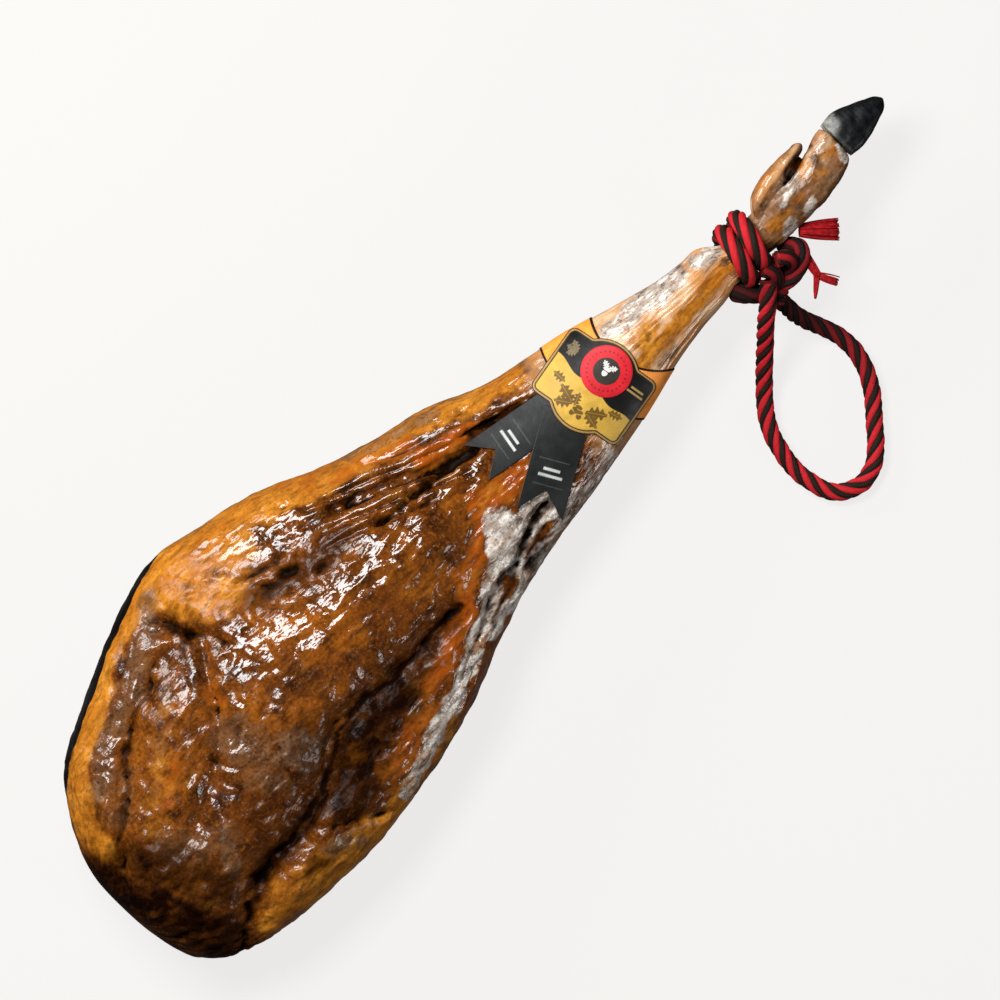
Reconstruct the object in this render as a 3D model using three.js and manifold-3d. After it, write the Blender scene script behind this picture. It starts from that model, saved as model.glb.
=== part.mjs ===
// A whole cured ham on the bone, lying on its skin side with the trimmed inner face up.
// Millimetres, +Z up. X runs along the leg from the butt (-X) to the hoof (+X); the origin is under
// the middle of the ham, on the surface it lies on.
import * as THREE from 'three';
import { mergeVertices } from 'three/addons/utils/BufferGeometryUtils.js';
import Module from 'manifold-3d';

const wasm = await Module();
wasm.setup();

const LEG_LENGTH = 850;             // butt to hoof tip, a typical whole ham
const GAP = 0.3;                    // clearance between pieces that touch

// Stations of the leg: distance from the butt, lower and upper edge in plan, underside and top.
const LEG_STATIONS = [
  [0, -31, -31, 52, 52],
  [1.5, -60, -2, 38, 64],
  [10, -93, 23, 24, 80],
  [26, -112.5, 51, 11, 95],
  [50, -124.5, 78, 2, 106],
  [80, -132, 94, -3, 109],
  [120, -136, 112, -5, 112.5],
  [165, -137.6, 129.5, -6, 114],
  [207, -134, 137.8, -6, 114],
  [250, -127, 129.5, -6, 112.5],
  [300, -115, 116.5, -5, 109.5],
  [345, -98, 95.5, -3, 105],
  [390, -84, 80, 2, 100],
  [436, -75, 68, 9, 96],
  [475, -70, 50, 15, 91.5],
  [505, -65, 41.5, 20, 88.5],
  [551, -57, 31.5, 27, 85],
  [597, -46.5, 17, 33, 81],
  [630, -42, 8, 35.5, 79.5],
  [652, -41, 4.6, 38, 77.5],
  [668, -38.5, 3, 41, 75],
  [684, -37, -8.4, 42.5, 73.5],
  [700, -38, -9, 41.5, 74.5],
  [716, -40.5, -8, 39, 77],
  [735, -41.5, -4, 37, 79.5],
  [750, -42, -10, 38, 78.5],
  [765, -40, -15, 43, 73],
  [776, -28, -26, 57.5, 58.5],
];
const LEG_STEPS = 72;               // rows of facets from butt to foot
const TOP_FACETS = 28;              // facets round the upper half of a section
const UNDER_FACETS = 14;            // facets round the lower half
const MEAT_SQUARENESS = 2.15;       // superellipse power of the thigh's section
const SHANK_SQUARENESS = 2.05;      // and of the shank's, nearly an ellipse
const SHANK_BEGINS = [300, 470];    // where the thigh's section turns into the shank's
const RELIEF_RISE = 0.45;           // sine of the angle round a section where the relief is full

// Relief of the inner face, as plan points in leg axes, depth (+ is up) and half width.
const FOLDS = [
  { name: 'groin pit', depth: -15, width: 13, along: [[-250, 106], [-240, 85], [-226, 60]] },
  { name: 'rump crease', depth: -9, width: 8,
    along: [[-256, 77], [-284, 73], [-311, 65], [-338, 48], [-363, 26], [-385, 5], [-405, -14]] },
  { name: 'round seam', depth: -4, width: 7,
    along: [[-240, 60], [-258, 33], [-281, 3], [-310, -15], [-345, -31]] },
  { name: 'thigh valley', depth: -13, width: 10,
    along: [[-85, -56], [-146, -58], [-206, -54], [-243, -74], [-288, -88], [-326, -90],
      [-369, -111], [-382, -119]] },
  { name: 'knee hollow', depth: -7, width: 22, along: [[-150, -80], [-196, -84], [-230, -80]] },
  { name: 'long furrow', depth: -7, width: 7,
    along: [[-91, 64], [-67, 55], [-30, 38], [10, 24], [57, 15], [82, 6]] },
  { name: 'skin fold', depth: -5, width: 6, along: [[20, -49], [-17, -64], [-58, -72], [-88, -84]] },
];
const SWELLS = [
  { name: 'cushion muscle', height: 9, x: -140, y: 2, long: 95, wide: 36, turn: 6 },
  { name: 'round muscle', height: 5, x: -297, y: 36, long: 42, wide: 18, turn: 48 },
  { name: 'flank roll', height: 5, x: -110, y: 84, long: 80, wide: 14, turn: -24 },
  { name: 'fat roll', height: 5, x: -300, y: -112, long: 60, wide: 14, turn: 8 },
];
const LABEL_CLEAR = [45, 90];       // the relief dies out between these X, before the label

// The foot: each of the two toes lies over the other in Z, mirrored in the cleft's plane.
const CLEFT_Z = 58;
const TOE_STATIONS = [
  [738, -28, -18, 64, 72],
  [744, -39, -12, 59.5, 77.5],
  [758, -42.5, -11.5, 57.7, 80],
  [770, -41.5, -8.5, 57.9, 79.5],
  [782, -39.5, -5, 58.2, 78.8],
  [793, -36, -1.5, 58.6, 78],
  [801.5, -32, 0, 58.8, 77.4],
];
const HOOF_STATIONS = [
  [801.8, -32, 0.4, 58.8, 77.4],
  [812, -34, 1.2, 58.8, 77.4],
  [823, -31.8, -1.7, 59, 75.8],
  [836, -28.8, -8, 59.4, 72.8],
  [845, -25.5, -12.5, 60.2, 69.6],
  [850, -20, -18, 63.2, 65.2],
];
const DEWCLAW_STATIONS = [
  [715, -20, -14, 66, 72],
  [720, -17, -5, 61, 77.5],
  [729, -14, 2.2, 59.8, 79.5],
  [742, -11.5, 5.6, 59.8, 79.5],
  [756, -8.4, 6.4, 60.2, 78.6],
  [769, -5, 6, 61.2, 76.8],
  [778, -2.4, 4.8, 62.6, 74.8],
  [781.5, 1, 1.4, 67.5, 69.5],
];
const FOOT_SQUARENESS = 2.3;
const FOOT_FACETS = 14;             // facets round a toe, a claw or a hoof
const FOOT_STEPS = 12;              // rows of facets along it

// The rope: two turns round the neck of the shank, a knot, a hanging loop and two frayed ends.
const ROPE_RADIUS = 7;
const WRAP_RADIUS = 7.6;            // the turns are drawn flat and so a little wider
const WRAP_START = 241;             // X where the first turn comes up from the knot
const WRAP_PITCH = 17;              // from one turn to the next
const WRAP_LEAN = 8.25;             // how far the turns lean back behind the shank
const WRAP_TURNS = 2;
const WRAP_CENTRE = [-23, 58];     // Y and Z of the shank's neck
const WRAP_REACH = [24.2, 26];      // half axes of the rope's centre line round the neck
const BOW_ROUTE = [
  [295, -49, 50], [301.5, -50.5, 57], [303.5, -56, 61], [300, -63, 61], [292.5, -67.5, 59],
  [283, -69, 57], [274, -67, 55], [266, -64, 53],
];
const TUCK_ROUTE = [[285, -54, 79], [290, -58, 72.5], [287, -62.5, 64], [280, -64, 56], [272, -64, 51]];
const COLLAR_CENTRE = [262, -64.5, 51];
const COLLAR_RADIUS = 8.5;
const LOOP_ROUTE = [
  [251, -71, 58], [240.5, -77, 49], [228.6, -86, 35], [216.3, -96.5, 22], [204.3, -107.5, 12.5],
  [193.1, -120, 8.4], [183.4, -133.8, 7.4], [177.4, -151.3, 7.4], [174.5, -170, 7.4], [176.1, -187.2, 7.4],
  [181.5, -200.5, 7.4], [191.6, -208.9, 7.4], [204.2, -212.5, 7.4], [218.7, -208.8, 7.4], [231, -199.1, 7.4],
  [244.2, -184.7, 7.4], [255.5, -172.2, 7.4], [264.8, -158, 7.4], [270.4, -143, 7.4], [271.7, -127.2, 7.4],
  [268.8, -113, 9], [264.3, -101, 14], [261, -91.5, 22], [260, -83.5, 31], [260.5, -77, 39],
];
const LOOP_STEPS = 48;              // facets along the loop
const WRAP_STEPS = 40;              // and along the turns
const ROPE_SIDES = 8;
const WRAP_SIDES = 10;
const KNOT_ROPE_RADIUS = 6.5;       // pulled tight
const BOW_STEPS = 20;
const TUCK_STEPS = 10;
const TASSEL_ROOT = [5, 5];         // half width and half thickness where a frayed end begins
const UPPER_TASSEL = { length: 29, tip: [10, 4.5], at: [311.6, -49, 57], turn: [0, 8, -45] };
const LOWER_TASSEL = { length: 21, tip: [5.5, 3.6], at: [294, -79.2, 57], turn: [0, 0, 0] };
const TASSEL_FACETS = 12;
const TASSEL_STEPS = 8;
const LOWER_TASSEL_TURNS = [-132, -68];  // the two halves that it parts into, degrees from X

// The label: a paper band round the leg, a badge glued over it, a round seal and two ribbon tails.
const PAPER = 0.6;
const BADGE_CENTRE = [112.7, -13.4];
const BADGE_TURN = -81;             // degrees from X to the line its print would run along
const BADGE_HALF_WIDTH = 40.3;
const BADGE_SHOULDER = 29.6;        // half height at the four corners
const BADGE_ARC = [21, 8.4];        // half width and rise of the bow on the top and bottom edge
const BADGE_CORNER = 6.5;
const SEAL_CENTRE = [127.3, -12.4];
const SEAL_RADIUS = 20;
const BADGE_LAYER = 3;              // the papers lie on each other, the band is layer 0
const SEAL_LAYER = 4;
const BAND_EDGES = { low: 113, high: 158, lean: 8, dip: 16 };  // X of its edges, and how they run
const BAND_COLUMNS = 3;             // facets across the band
const BAND_FACETS = 44;             // facets round it
const TAILS = {
  ribbon_left: { from: [72, -2], to: [8, 10.5], halfWidth: 16.5, notch: 18, layer: 1 },
  ribbon_right: { from: [71, -20], to: [13.5, -51.5], halfWidth: 18, notch: 19, layer: 2 },
};

// Catmull-Rom interpolation of a table's rows, at s from 0 to 1.
function station(rows, s) {
  const place = Math.min(Math.max(s, 0), 1) * (rows.length - 1);
  const index = Math.min(Math.floor(place), rows.length - 2);
  const t = place - index;
  const before = rows[Math.max(index - 1, 0)];
  const after = rows[Math.min(index + 2, rows.length - 1)];
  return rows[index].map((start, column) => {
    const end = rows[index + 1][column];
    const leave = (end - before[column]) / 2;
    const arrive = (after[column] - start) / 2;
    const bend = 3 * (end - start) - 2 * leave - arrive;
    const twist = 2 * (start - end) + leave + arrive;
    return start + t * (leave + t * (bend + t * twist));
  });
}

function smoothstep(from, to, value) {
  const t = Math.min(Math.max((value - from) / (to - from), 0), 1);
  return t * t * (3 - 2 * t);
}

function distanceToLine(points, x, y) {
  let nearest = Infinity;
  for (let i = 1; i < points.length; i += 1) {
    const [ax, ay] = points[i - 1];
    const [bx, by] = points[i];
    const along = ((x - ax) * (bx - ax) + (y - ay) * (by - ay)) / ((bx - ax) ** 2 + (by - ay) ** 2);
    const t = Math.min(Math.max(along, 0), 1);
    nearest = Math.min(nearest, Math.hypot(x - ax - t * (bx - ax), y - ay - t * (by - ay)));
  }
  return nearest;
}

// Height that the muscles, rolls and folds add to the inner face.
function relief(x, y) {
  let height = 0;
  for (const fold of FOLDS) {
    height += fold.depth * Math.exp(-((distanceToLine(fold.along, x, y) / fold.width) ** 2));
  }
  for (const swell of SWELLS) {
    const turn = THREE.MathUtils.degToRad(swell.turn);
    const dx = x - swell.x;
    const dy = y - swell.y;
    const along = (dx * Math.cos(turn) + dy * Math.sin(turn)) / swell.long;
    const across = (dy * Math.cos(turn) - dx * Math.sin(turn)) / swell.wide;
    height += swell.height * Math.exp(-along * along - across * across);
  }
  return height * (1 - smoothstep(...LABEL_CLEAR, x));
}

function squareness(fromButt) {
  return THREE.MathUtils.lerp(MEAT_SQUARENESS, SHANK_SQUARENESS, smoothstep(...SHANK_BEGINS, fromButt));
}

const signedPower = (value, power) => Math.sign(value) * Math.abs(value) ** power;

// A point of the superellipse section of a station at an angle, 0 on the +Y side, 90 degrees on top.
function sectionPoint([fromButt, yLow, yHigh, zLow, zHigh], angle, power) {
  const y = (yLow + yHigh) / 2 + ((yHigh - yLow) / 2) * signedPower(Math.cos(angle), 2 / power);
  const z = (zLow + zHigh) / 2 + ((zHigh - zLow) / 2) * signedPower(Math.sin(angle), 2 / power);
  return new THREE.Vector3(fromButt - LEG_LENGTH / 2, y, z);
}

// Halves an interval until the test's change from true to false is found.
function lastTrue(low, high, test) {
  const middle = (low + high) / 2;
  if (high - low < 1e-6) return low;
  return test(middle) ? lastTrue(middle, high, test) : lastTrue(low, middle, test);
}

// The station of the leg at a distance from the butt.
function legStation(fromButt) {
  return station(LEG_STATIONS, lastTrue(0, 1, (s) => station(LEG_STATIONS, s)[0] < fromButt));
}

// Top of the leg over a plan point, without its relief.
function legTop(x, y) {
  const fromButt = x + LEG_LENGTH / 2;
  const [, yLow, yHigh, zLow, zHigh] = legStation(fromButt);
  const power = squareness(fromButt);
  const side = Math.min(Math.abs((2 * y - yLow - yHigh) / (yHigh - yLow)), 0.999);
  return (zLow + zHigh) / 2 + ((zHigh - zLow) / 2) * (1 - side ** power) ** (1 / power);
}

// Keeps only the shared vertices of a geometry and moves each of them.
function shaped(geometry, move) {
  geometry.deleteAttribute('normal');
  geometry.deleteAttribute('uv');
  const merged = mergeVertices(geometry, 1e-5);
  const position = merged.getAttribute('position');
  const point = new THREE.Vector3();
  for (let i = 0; i < position.count; i += 1) {
    point.fromBufferAttribute(position, i);
    const moved = move(point.clone());
    position.setXYZ(i, moved.x, moved.y, moved.z);
  }
  merged.computeVertexNormals();
  return merged;
}

// A closed limb: a sphere's meridians become the length, its parallels the sections of a table.
function limb(rows, around, steps, sectionOf) {
  return shaped(new THREE.SphereGeometry(1, around, steps), (point) => {
    const s = Math.acos(THREE.MathUtils.clamp(point.y, -1, 1)) / Math.PI;
    const turn = (Math.atan2(point.z, -point.x) / (2 * Math.PI) + 1) % 1;
    return sectionOf(station(rows, s), turn, s);
  });
}

function roundLimb(rows, mirrorZ) {
  return limb(rows, FOOT_FACETS, FOOT_STEPS, (row, turn, s) => {
    const size = Math.min(1, s * FOOT_STEPS, (1 - s) * FOOT_STEPS);
    const point = sectionPoint(row, -2 * Math.PI * turn, FOOT_SQUARENESS);
    const middle = sectionPoint(row, Math.PI / 2, FOOT_SQUARENESS);
    middle.z = (row[3] + row[4]) / 2;
    point.lerp(middle, 1 - size);
    if (mirrorZ) point.z = 2 * CLEFT_Z - point.z;
    return point;
  });
}

// A closed geometry as a solid, turned the right way out.
function solidOf(geometry) {
  const vertProperties = new Float32Array(geometry.getAttribute('position').array);
  const index = Array.from(geometry.index.array);
  const build = (order) => new wasm.Manifold(new wasm.Mesh({
    numProp: 3, vertProperties, triVerts: new Uint32Array(order),
  }));
  const solid = build(index);
  if (solid.volume() > 0) return solid;
  const flipped = [];
  for (let i = 0; i < index.length; i += 3) flipped.push(index[i], index[i + 2], index[i + 1]);
  return build(flipped);
}

function geometryOf(solid) {
  const { vertProperties, triVerts } = solid.getMesh();
  const geometry = new THREE.BufferGeometry();
  geometry.setAttribute('position', new THREE.BufferAttribute(new Float32Array(vertProperties), 3));
  geometry.setIndex(new THREE.BufferAttribute(new Uint32Array(triVerts), 1));
  geometry.computeVertexNormals();
  return geometry;
}

const joined = (...geometries) => geometryOf(
  geometries.map(solidOf).reduce((whole, piece) => whole.add(piece)),
);

function legGeometry() {
  const around = TOP_FACETS + UNDER_FACETS;
  return limb(LEG_STATIONS, around, LEG_STEPS, (row, turn) => {
    const facet = turn * around;
    const angle = facet < TOP_FACETS
      ? (Math.PI * facet) / TOP_FACETS
      : Math.PI * (1 + (facet - TOP_FACETS) / UNDER_FACETS);
    const point = sectionPoint(row, angle, squareness(row[0]));
    const upward = smoothstep(0, RELIEF_RISE, Math.sin(angle));
    point.z = Math.max(point.z + upward * relief(point.x, point.y), 0);
    return point;
  });
}

function hamGeometry() {
  return joined(
    legGeometry(),
    roundLimb(TOE_STATIONS, false),
    roundLimb(TOE_STATIONS, true),
    roundLimb(DEWCLAW_STATIONS, false),
    roundLimb(DEWCLAW_STATIONS, true),
  );
}

class WrapCurve extends THREE.Curve {
  getPoint(t) {
    const angle = 2 * Math.PI * WRAP_TURNS * t;
    return new THREE.Vector3(
      WRAP_START + WRAP_PITCH * WRAP_TURNS * t + WRAP_LEAN * (1 - Math.cos(angle)),
      WRAP_CENTRE[0] - WRAP_REACH[0] * Math.cos(angle),
      WRAP_CENTRE[1] - WRAP_REACH[1] * Math.sin(angle),
    );
  }
}

// A round tube along a curve.
function tube(curve, radius, sides, steps) {
  const section = new THREE.Shape();
  for (let i = 0; i < sides; i += 1) {
    const angle = (2 * Math.PI * i) / sides;
    const draw = i === 0 ? 'moveTo' : 'lineTo';
    section[draw](radius * Math.cos(angle), radius * Math.sin(angle));
  }
  section.closePath();
  const geometry = new THREE.ExtrudeGeometry(section, { extrudePath: curve, steps, bevelEnabled: false });
  return shaped(geometry, (point) => point);
}

const route = (points) => new THREE.CatmullRomCurve3(points.map((p) => new THREE.Vector3(...p)));

function knotGeometry() {
  const collar = new THREE.SphereGeometry(COLLAR_RADIUS, 16, 10);
  return joined(
    tube(route(BOW_ROUTE), KNOT_ROPE_RADIUS, ROPE_SIDES, BOW_STEPS),
    tube(route(TUCK_ROUTE), KNOT_ROPE_RADIUS, ROPE_SIDES, TUCK_STEPS),
    shaped(collar, (point) => point.add(new THREE.Vector3(...COLLAR_CENTRE))),
  );
}

// A frayed rope end along its own X, from its root's half sizes to its tip's.
function tassel({ length, tip }) {
  const rows = [0, 0.1, 0.35, 0.7, 0.95, 1].map((t) => {
    const width = THREE.MathUtils.lerp(TASSEL_ROOT[0], tip[0], t * Math.sqrt(t));
    const thick = THREE.MathUtils.lerp(TASSEL_ROOT[1], tip[1], t);
    return [length * t + LEG_LENGTH / 2, -width, width, -thick, thick];
  });
  return limb(rows, TASSEL_FACETS, TASSEL_STEPS, (row, turn, s) => {
    const size = Math.min(1, s * TASSEL_STEPS, (1 - s) * TASSEL_STEPS);
    return sectionPoint(row, -2 * Math.PI * turn, 2).multiply(new THREE.Vector3(1, size, size));
  });
}

const lowerTassel = () => joined(...LOWER_TASSEL_TURNS.map(
  (turn) => tassel(LOWER_TASSEL).rotateZ(THREE.MathUtils.degToRad(turn)),
));

// Height of a paper layer's lower face over the leg, square to the slope there.
function layerHeight(x, y, lift) {
  const step = 1;
  const slopeX = (legTop(x + step, y) - legTop(x - step, y)) / (2 * step);
  const slopeY = (legTop(x, y + step) - legTop(x, y - step)) / (2 * step);
  return legTop(x, y) + lift * Math.hypot(1, slopeX, slopeY);
}

const layerLift = (layer) => 2 * GAP + layer * (PAPER + GAP);

// A plate with a star-shaped outline, pressed onto the leg: a sphere's upper half is its face.
function plate(outline, centre, around, rings, layer) {
  const steps = 2 * rings + 1;
  const turn = THREE.MathUtils.degToRad(BADGE_TURN);
  return shaped(new THREE.SphereGeometry(1, around, steps), (point) => {
    const row = Math.round((Math.acos(THREE.MathUtils.clamp(point.y, -1, 1)) / Math.PI) * steps);
    const reach = Math.min(row, steps - row) / rings;
    const angle = Math.atan2(point.z, point.x);
    const edge = outline(angle);
    const u = edge[0] * reach;
    const v = edge[1] * reach;
    const x = centre[0] + u * Math.cos(turn) - v * Math.sin(turn);
    const y = centre[1] + u * Math.sin(turn) + v * Math.cos(turn);
    const lift = layerLift(layer) + (row <= rings ? PAPER : 0);
    return new THREE.Vector3(x, y, layerHeight(x, y, lift));
  });
}

// Badge outline along a ray: a square with rounded corners and a bow on its top and bottom edge.
function badgeOutline(angle) {
  const dx = Math.abs(Math.cos(angle));
  const dy = Math.abs(Math.sin(angle));
  const inner = [BADGE_HALF_WIDTH - BADGE_CORNER, BADGE_SHOULDER - BADGE_CORNER];
  const inside = (r) => {
    const u = dx * r;
    const v = dy * r;
    const corner = Math.hypot(Math.max(u - inner[0], 0), Math.max(v - inner[1], 0)) <= BADGE_CORNER;
    const [half, rise] = BADGE_ARC;
    const radius = (half * half + rise * rise) / (2 * rise);
    const bow = u < half && Math.hypot(u, v - (BADGE_SHOULDER + rise - radius)) <= radius;
    return corner || bow || (u < inner[0] && v < inner[1]);
  };
  const reach = lastTrue(0, 2 * BADGE_HALF_WIDTH, inside);
  return [reach * Math.cos(angle), reach * Math.sin(angle)];
}

const sealOutline = (angle) => [SEAL_RADIUS * Math.cos(angle), SEAL_RADIUS * Math.sin(angle)];

// A ribbon tail from under the badge to a swallow-tailed end.
function ribbonTail({ from, to, halfWidth, notch, layer }) {
  const along = new THREE.Vector2(to[0] - from[0], to[1] - from[1]);
  const length = along.length();
  along.normalize();
  return shaped(new THREE.BoxGeometry(1, 1, 1, 10, 6, 1), (point) => {
    const across = 2 * point.y;
    const reach = (point.x + 0.5) * (length - notch * (1 - Math.abs(across)));
    const x = from[0] + along.x * reach - along.y * halfWidth * across;
    const y = from[1] + along.y * reach + along.x * halfWidth * across;
    const lift = layerLift(layer) + (point.z > 0 ? PAPER : 0);
    return new THREE.Vector3(x, y, layerHeight(x, y, lift));
  });
}

// A point of the leg's section at an angle, lifted off the leg square to it.
function bandPoint(fromButt, angle, lift) {
  const row = legStation(fromButt);
  const [, yLow, yHigh, zLow, zHigh] = row;
  const point = sectionPoint(row, angle, squareness(fromButt));
  const normal = new THREE.Vector2(
    (point.y - (yLow + yHigh) / 2) / (yHigh - yLow) ** 2,
    (point.z - (zLow + zHigh) / 2) / (zHigh - zLow) ** 2,
  ).normalize();
  point.y += normal.x * lift;
  point.z += normal.y * lift;
  return point;
}

// The paper band: a lathe ring whose profile is the band's cut edge, laid round the leg's sections.
function bandGeometry() {
  const profile = [];
  for (let i = 0; i <= BAND_COLUMNS; i += 1) profile.push(new THREE.Vector2(1, i));
  for (let i = BAND_COLUMNS; i >= 0; i -= 1) profile.push(new THREE.Vector2(2, i));
  profile.push(profile[0].clone());
  const { low, high, lean, dip } = BAND_EDGES;
  return shaped(new THREE.LatheGeometry(profile, BAND_FACETS), (point) => {
    const angle = Math.atan2(point.z, point.x);
    const outer = Math.hypot(point.x, point.z) > 1.5;
    const front = Math.max(Math.sin(angle), 0);
    const across = THREE.MathUtils.lerp(low, high, point.y / BAND_COLUMNS);
    const x = across - lean * Math.cos(angle) - dip * front ** 2;
    const fromButt = x + LEG_LENGTH / 2;
    const lift = layerLift(0) + (outer ? PAPER : 0);
    return bandPoint(fromButt, angle, lift);
  });
}

const finish = (color, roughness) => new THREE.MeshStandardMaterial({ color, roughness, metalness: 0 });
const CURED_MEAT = finish('#9a5a18', 0.35);
const HORN = finish('#1b1b1c', 0.35);
const RED_ROPE = finish('#a31c22', 0.8);
const ORANGE_PAPER = finish('#d9822b', 0.6);
const DARK_PAPER = finish('#2e3130', 0.55);
const GOLD_PRINT = finish('#c79a3c', 0.45);
const SEAL_PRINT = finish('#c8202c', 0.4);

const ham = new THREE.Group();

function place(name, geometry, material, position = [0, 0, 0], turn = [0, 0, 0]) {
  const mesh = new THREE.Mesh(geometry, material);
  mesh.name = name;
  mesh.position.set(...position);
  mesh.rotation.set(...turn.map((angle) => THREE.MathUtils.degToRad(angle)));
  ham.add(mesh);
}

const whole = (geometry) => geometryOf(solidOf(geometry));

place('ham', hamGeometry(), CURED_MEAT);
place('hoof_upper', whole(roundLimb(HOOF_STATIONS, false)), HORN);
place('hoof_lower', whole(roundLimb(HOOF_STATIONS, true)), HORN);
place('rope_turns', whole(tube(new WrapCurve(), WRAP_RADIUS, WRAP_SIDES, WRAP_STEPS)), RED_ROPE);
place('rope_knot', knotGeometry(), RED_ROPE);
place('rope_loop', whole(tube(route(LOOP_ROUTE), ROPE_RADIUS, ROPE_SIDES, LOOP_STEPS)), RED_ROPE);
place('tassel_upper', whole(tassel(UPPER_TASSEL)), RED_ROPE, UPPER_TASSEL.at, UPPER_TASSEL.turn);
place('tassel_lower', lowerTassel(), RED_ROPE, LOWER_TASSEL.at, LOWER_TASSEL.turn);
place('label_band', whole(bandGeometry()), ORANGE_PAPER);
place('label_badge', whole(plate(badgeOutline, BADGE_CENTRE, 36, 4, BADGE_LAYER)), GOLD_PRINT);
place('label_seal', whole(plate(sealOutline, SEAL_CENTRE, 24, 2, SEAL_LAYER)), SEAL_PRINT);
for (const [name, tail] of Object.entries(TAILS)) {
  place(name, whole(ribbonTail(tail)), DARK_PAPER);
}

export default ham;
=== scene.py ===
"""A whole cured ham on the bone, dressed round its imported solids: leg, foot, hooves, rope and label."""
import math

import bpy
import numpy as np
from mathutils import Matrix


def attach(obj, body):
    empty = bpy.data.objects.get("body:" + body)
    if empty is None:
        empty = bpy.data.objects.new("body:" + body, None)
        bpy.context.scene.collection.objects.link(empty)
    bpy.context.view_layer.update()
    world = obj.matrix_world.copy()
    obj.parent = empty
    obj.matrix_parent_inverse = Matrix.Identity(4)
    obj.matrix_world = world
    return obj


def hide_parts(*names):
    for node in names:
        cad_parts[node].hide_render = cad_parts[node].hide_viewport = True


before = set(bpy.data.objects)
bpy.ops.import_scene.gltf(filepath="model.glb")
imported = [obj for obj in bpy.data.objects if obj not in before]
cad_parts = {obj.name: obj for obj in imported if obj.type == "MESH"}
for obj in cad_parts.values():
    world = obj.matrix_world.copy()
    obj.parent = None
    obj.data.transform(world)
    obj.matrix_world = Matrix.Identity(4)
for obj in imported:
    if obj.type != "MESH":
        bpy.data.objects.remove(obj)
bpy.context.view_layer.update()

# Places and sizes are in millimetres, in the part's own frame: X along the leg, Z up.
MM = 0.001
LEG_LENGTH = 850                    # butt to hoof tip
BODY = "root"

# The camera looks straight down; the ham lies slanted across the square picture.
PICTURE_WIDTH = 765.5               # millimetres of floor from edge to edge
PICTURE_CENTRE = (0.5, -22.1)       # plan point in the middle of the picture
PICTURE_TURN = 46                   # degrees from X to the picture's right edge, downwards
LENS = 250                          # a long lens, so the plan keeps its proportions
MIDDLE_HEIGHT = 58                  # height of the ham's outline, where the scale is true
# Soft white panels: place and target in metres, width and height in metres, watts.
LIGHTS = {
    "overhead": ((0.05, 1.05, 2.0), (0, 0, 0.05), (1.2, 0.6), 64),
    "flank": ((-0.2, 2.3, 1.0), (0, 0, 0.05), (1.2, 0.8), 44),
    "side": ((0.6, -2.2, 0.8), (0.1, 0, 0.05), (0.7, 0.4), 12),
}
ROOM_LIGHT = 0.08
FLOOR_HALF = 6000
FLOOR_DROP = 0.5                    # the floor lies this much below the ham

# Stations of the leg: distance from the butt, lower and upper edge in plan, underside and top.
LEG_STATIONS = [
    (0, -31, -31, 52, 52), (1.5, -60, -2, 38, 64), (10, -93, 23, 24, 80), (26, -112.5, 51, 11, 95),
    (50, -124.5, 78, 2, 106), (80, -132, 94, -3, 109), (120, -136, 112, -5, 112.5),
    (165, -137.6, 129.5, -6, 114), (207, -134, 137.8, -6, 114), (250, -127, 129.5, -6, 112.5),
    (300, -115, 116.5, -5, 109.5), (345, -98, 95.5, -3, 105), (390, -84, 80, 2, 100),
    (436, -75, 68, 9, 96), (475, -70, 50, 15, 91.5), (505, -65, 41.5, 20, 88.5),
    (551, -57, 31.5, 27, 85), (597, -46.5, 17, 33, 81), (630, -42, 8, 35.5, 79.5),
    (652, -41, 4.6, 38, 77.5), (668, -38.5, 3, 41, 75), (684, -37, -8.4, 42.5, 73.5),
    (700, -38, -9, 41.5, 74.5), (716, -40.5, -8, 39, 77), (735, -41.5, -4, 37, 79.5),
    (750, -42, -10, 38, 78.5), (765, -40, -15, 43, 73), (776, -28, -26, 57.5, 58.5),
]
MEAT_SQUARENESS = 2.15              # superellipse power of the thigh's section
SHANK_SQUARENESS = 2.05             # and of the shank's
SHANK_BEGINS = (300, 470)           # from the butt, where one power goes over to the other
RELIEF_RISE = 0.45                  # sine of the angle round a section where the relief is full
LABEL_CLEAR = (45, 90)              # the large relief dies out between these X, before the label

# The foot: each of the two toes lies over the other in Z, mirrored in the cleft's plane.
CLEFT_Z = 58
PASTERN_START = 668                 # the foot's mesh begins here, inside the leg's
PASTERN = [row for row in LEG_STATIONS if row[0] >= PASTERN_START]
TOE_STATIONS = [
    (738, -28, -18, 64, 72), (744, -39, -12, 59.5, 77.5), (758, -42.5, -11.5, 57.7, 80),
    (770, -41.5, -8.5, 57.9, 79.5), (782, -39.5, -5, 58.2, 78.8), (793, -36, -1.5, 58.6, 78),
    (801.5, -32, 0, 58.8, 77.4),
]
HOOF_STATIONS = [
    (801.8, -32, 0.4, 58.8, 77.4), (812, -34, 1.2, 58.8, 77.4), (823, -31.8, -1.7, 59, 75.8),
    (836, -28.8, -8, 59.4, 72.8), (845, -25.5, -12.5, 60.2, 69.6), (850, -20, -18, 63.2, 65.2),
]
DEWCLAW_STATIONS = [
    (715, -20, -14, 66, 72), (720, -17, -5, 61, 77.5), (729, -14, 2.2, 59.8, 79.5),
    (742, -11.5, 5.6, 59.8, 79.5), (756, -8.4, 6.4, 60.2, 78.6), (769, -5, 6, 61.2, 76.8),
    (778, -2.4, 4.8, 62.6, 74.8), (781.5, 1, 1.4, 67.5, 69.5),
]
WEB_STATIONS = [                    # the skin between the toes and the dewclaws, deep in the cleft
    (722, -20, -4, 53, 63), (740, -18, 2, 52, 64), (758, -16, 2, 53, 63), (774, -14, 0, 55, 61),
]
FOOT_SQUARENESS = 2.3
FOOT_VOXEL = 0.9                    # of the remesh that fuses the limbs
FOOT_MIDDLE = -20                   # Y of the foot's axis
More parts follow.
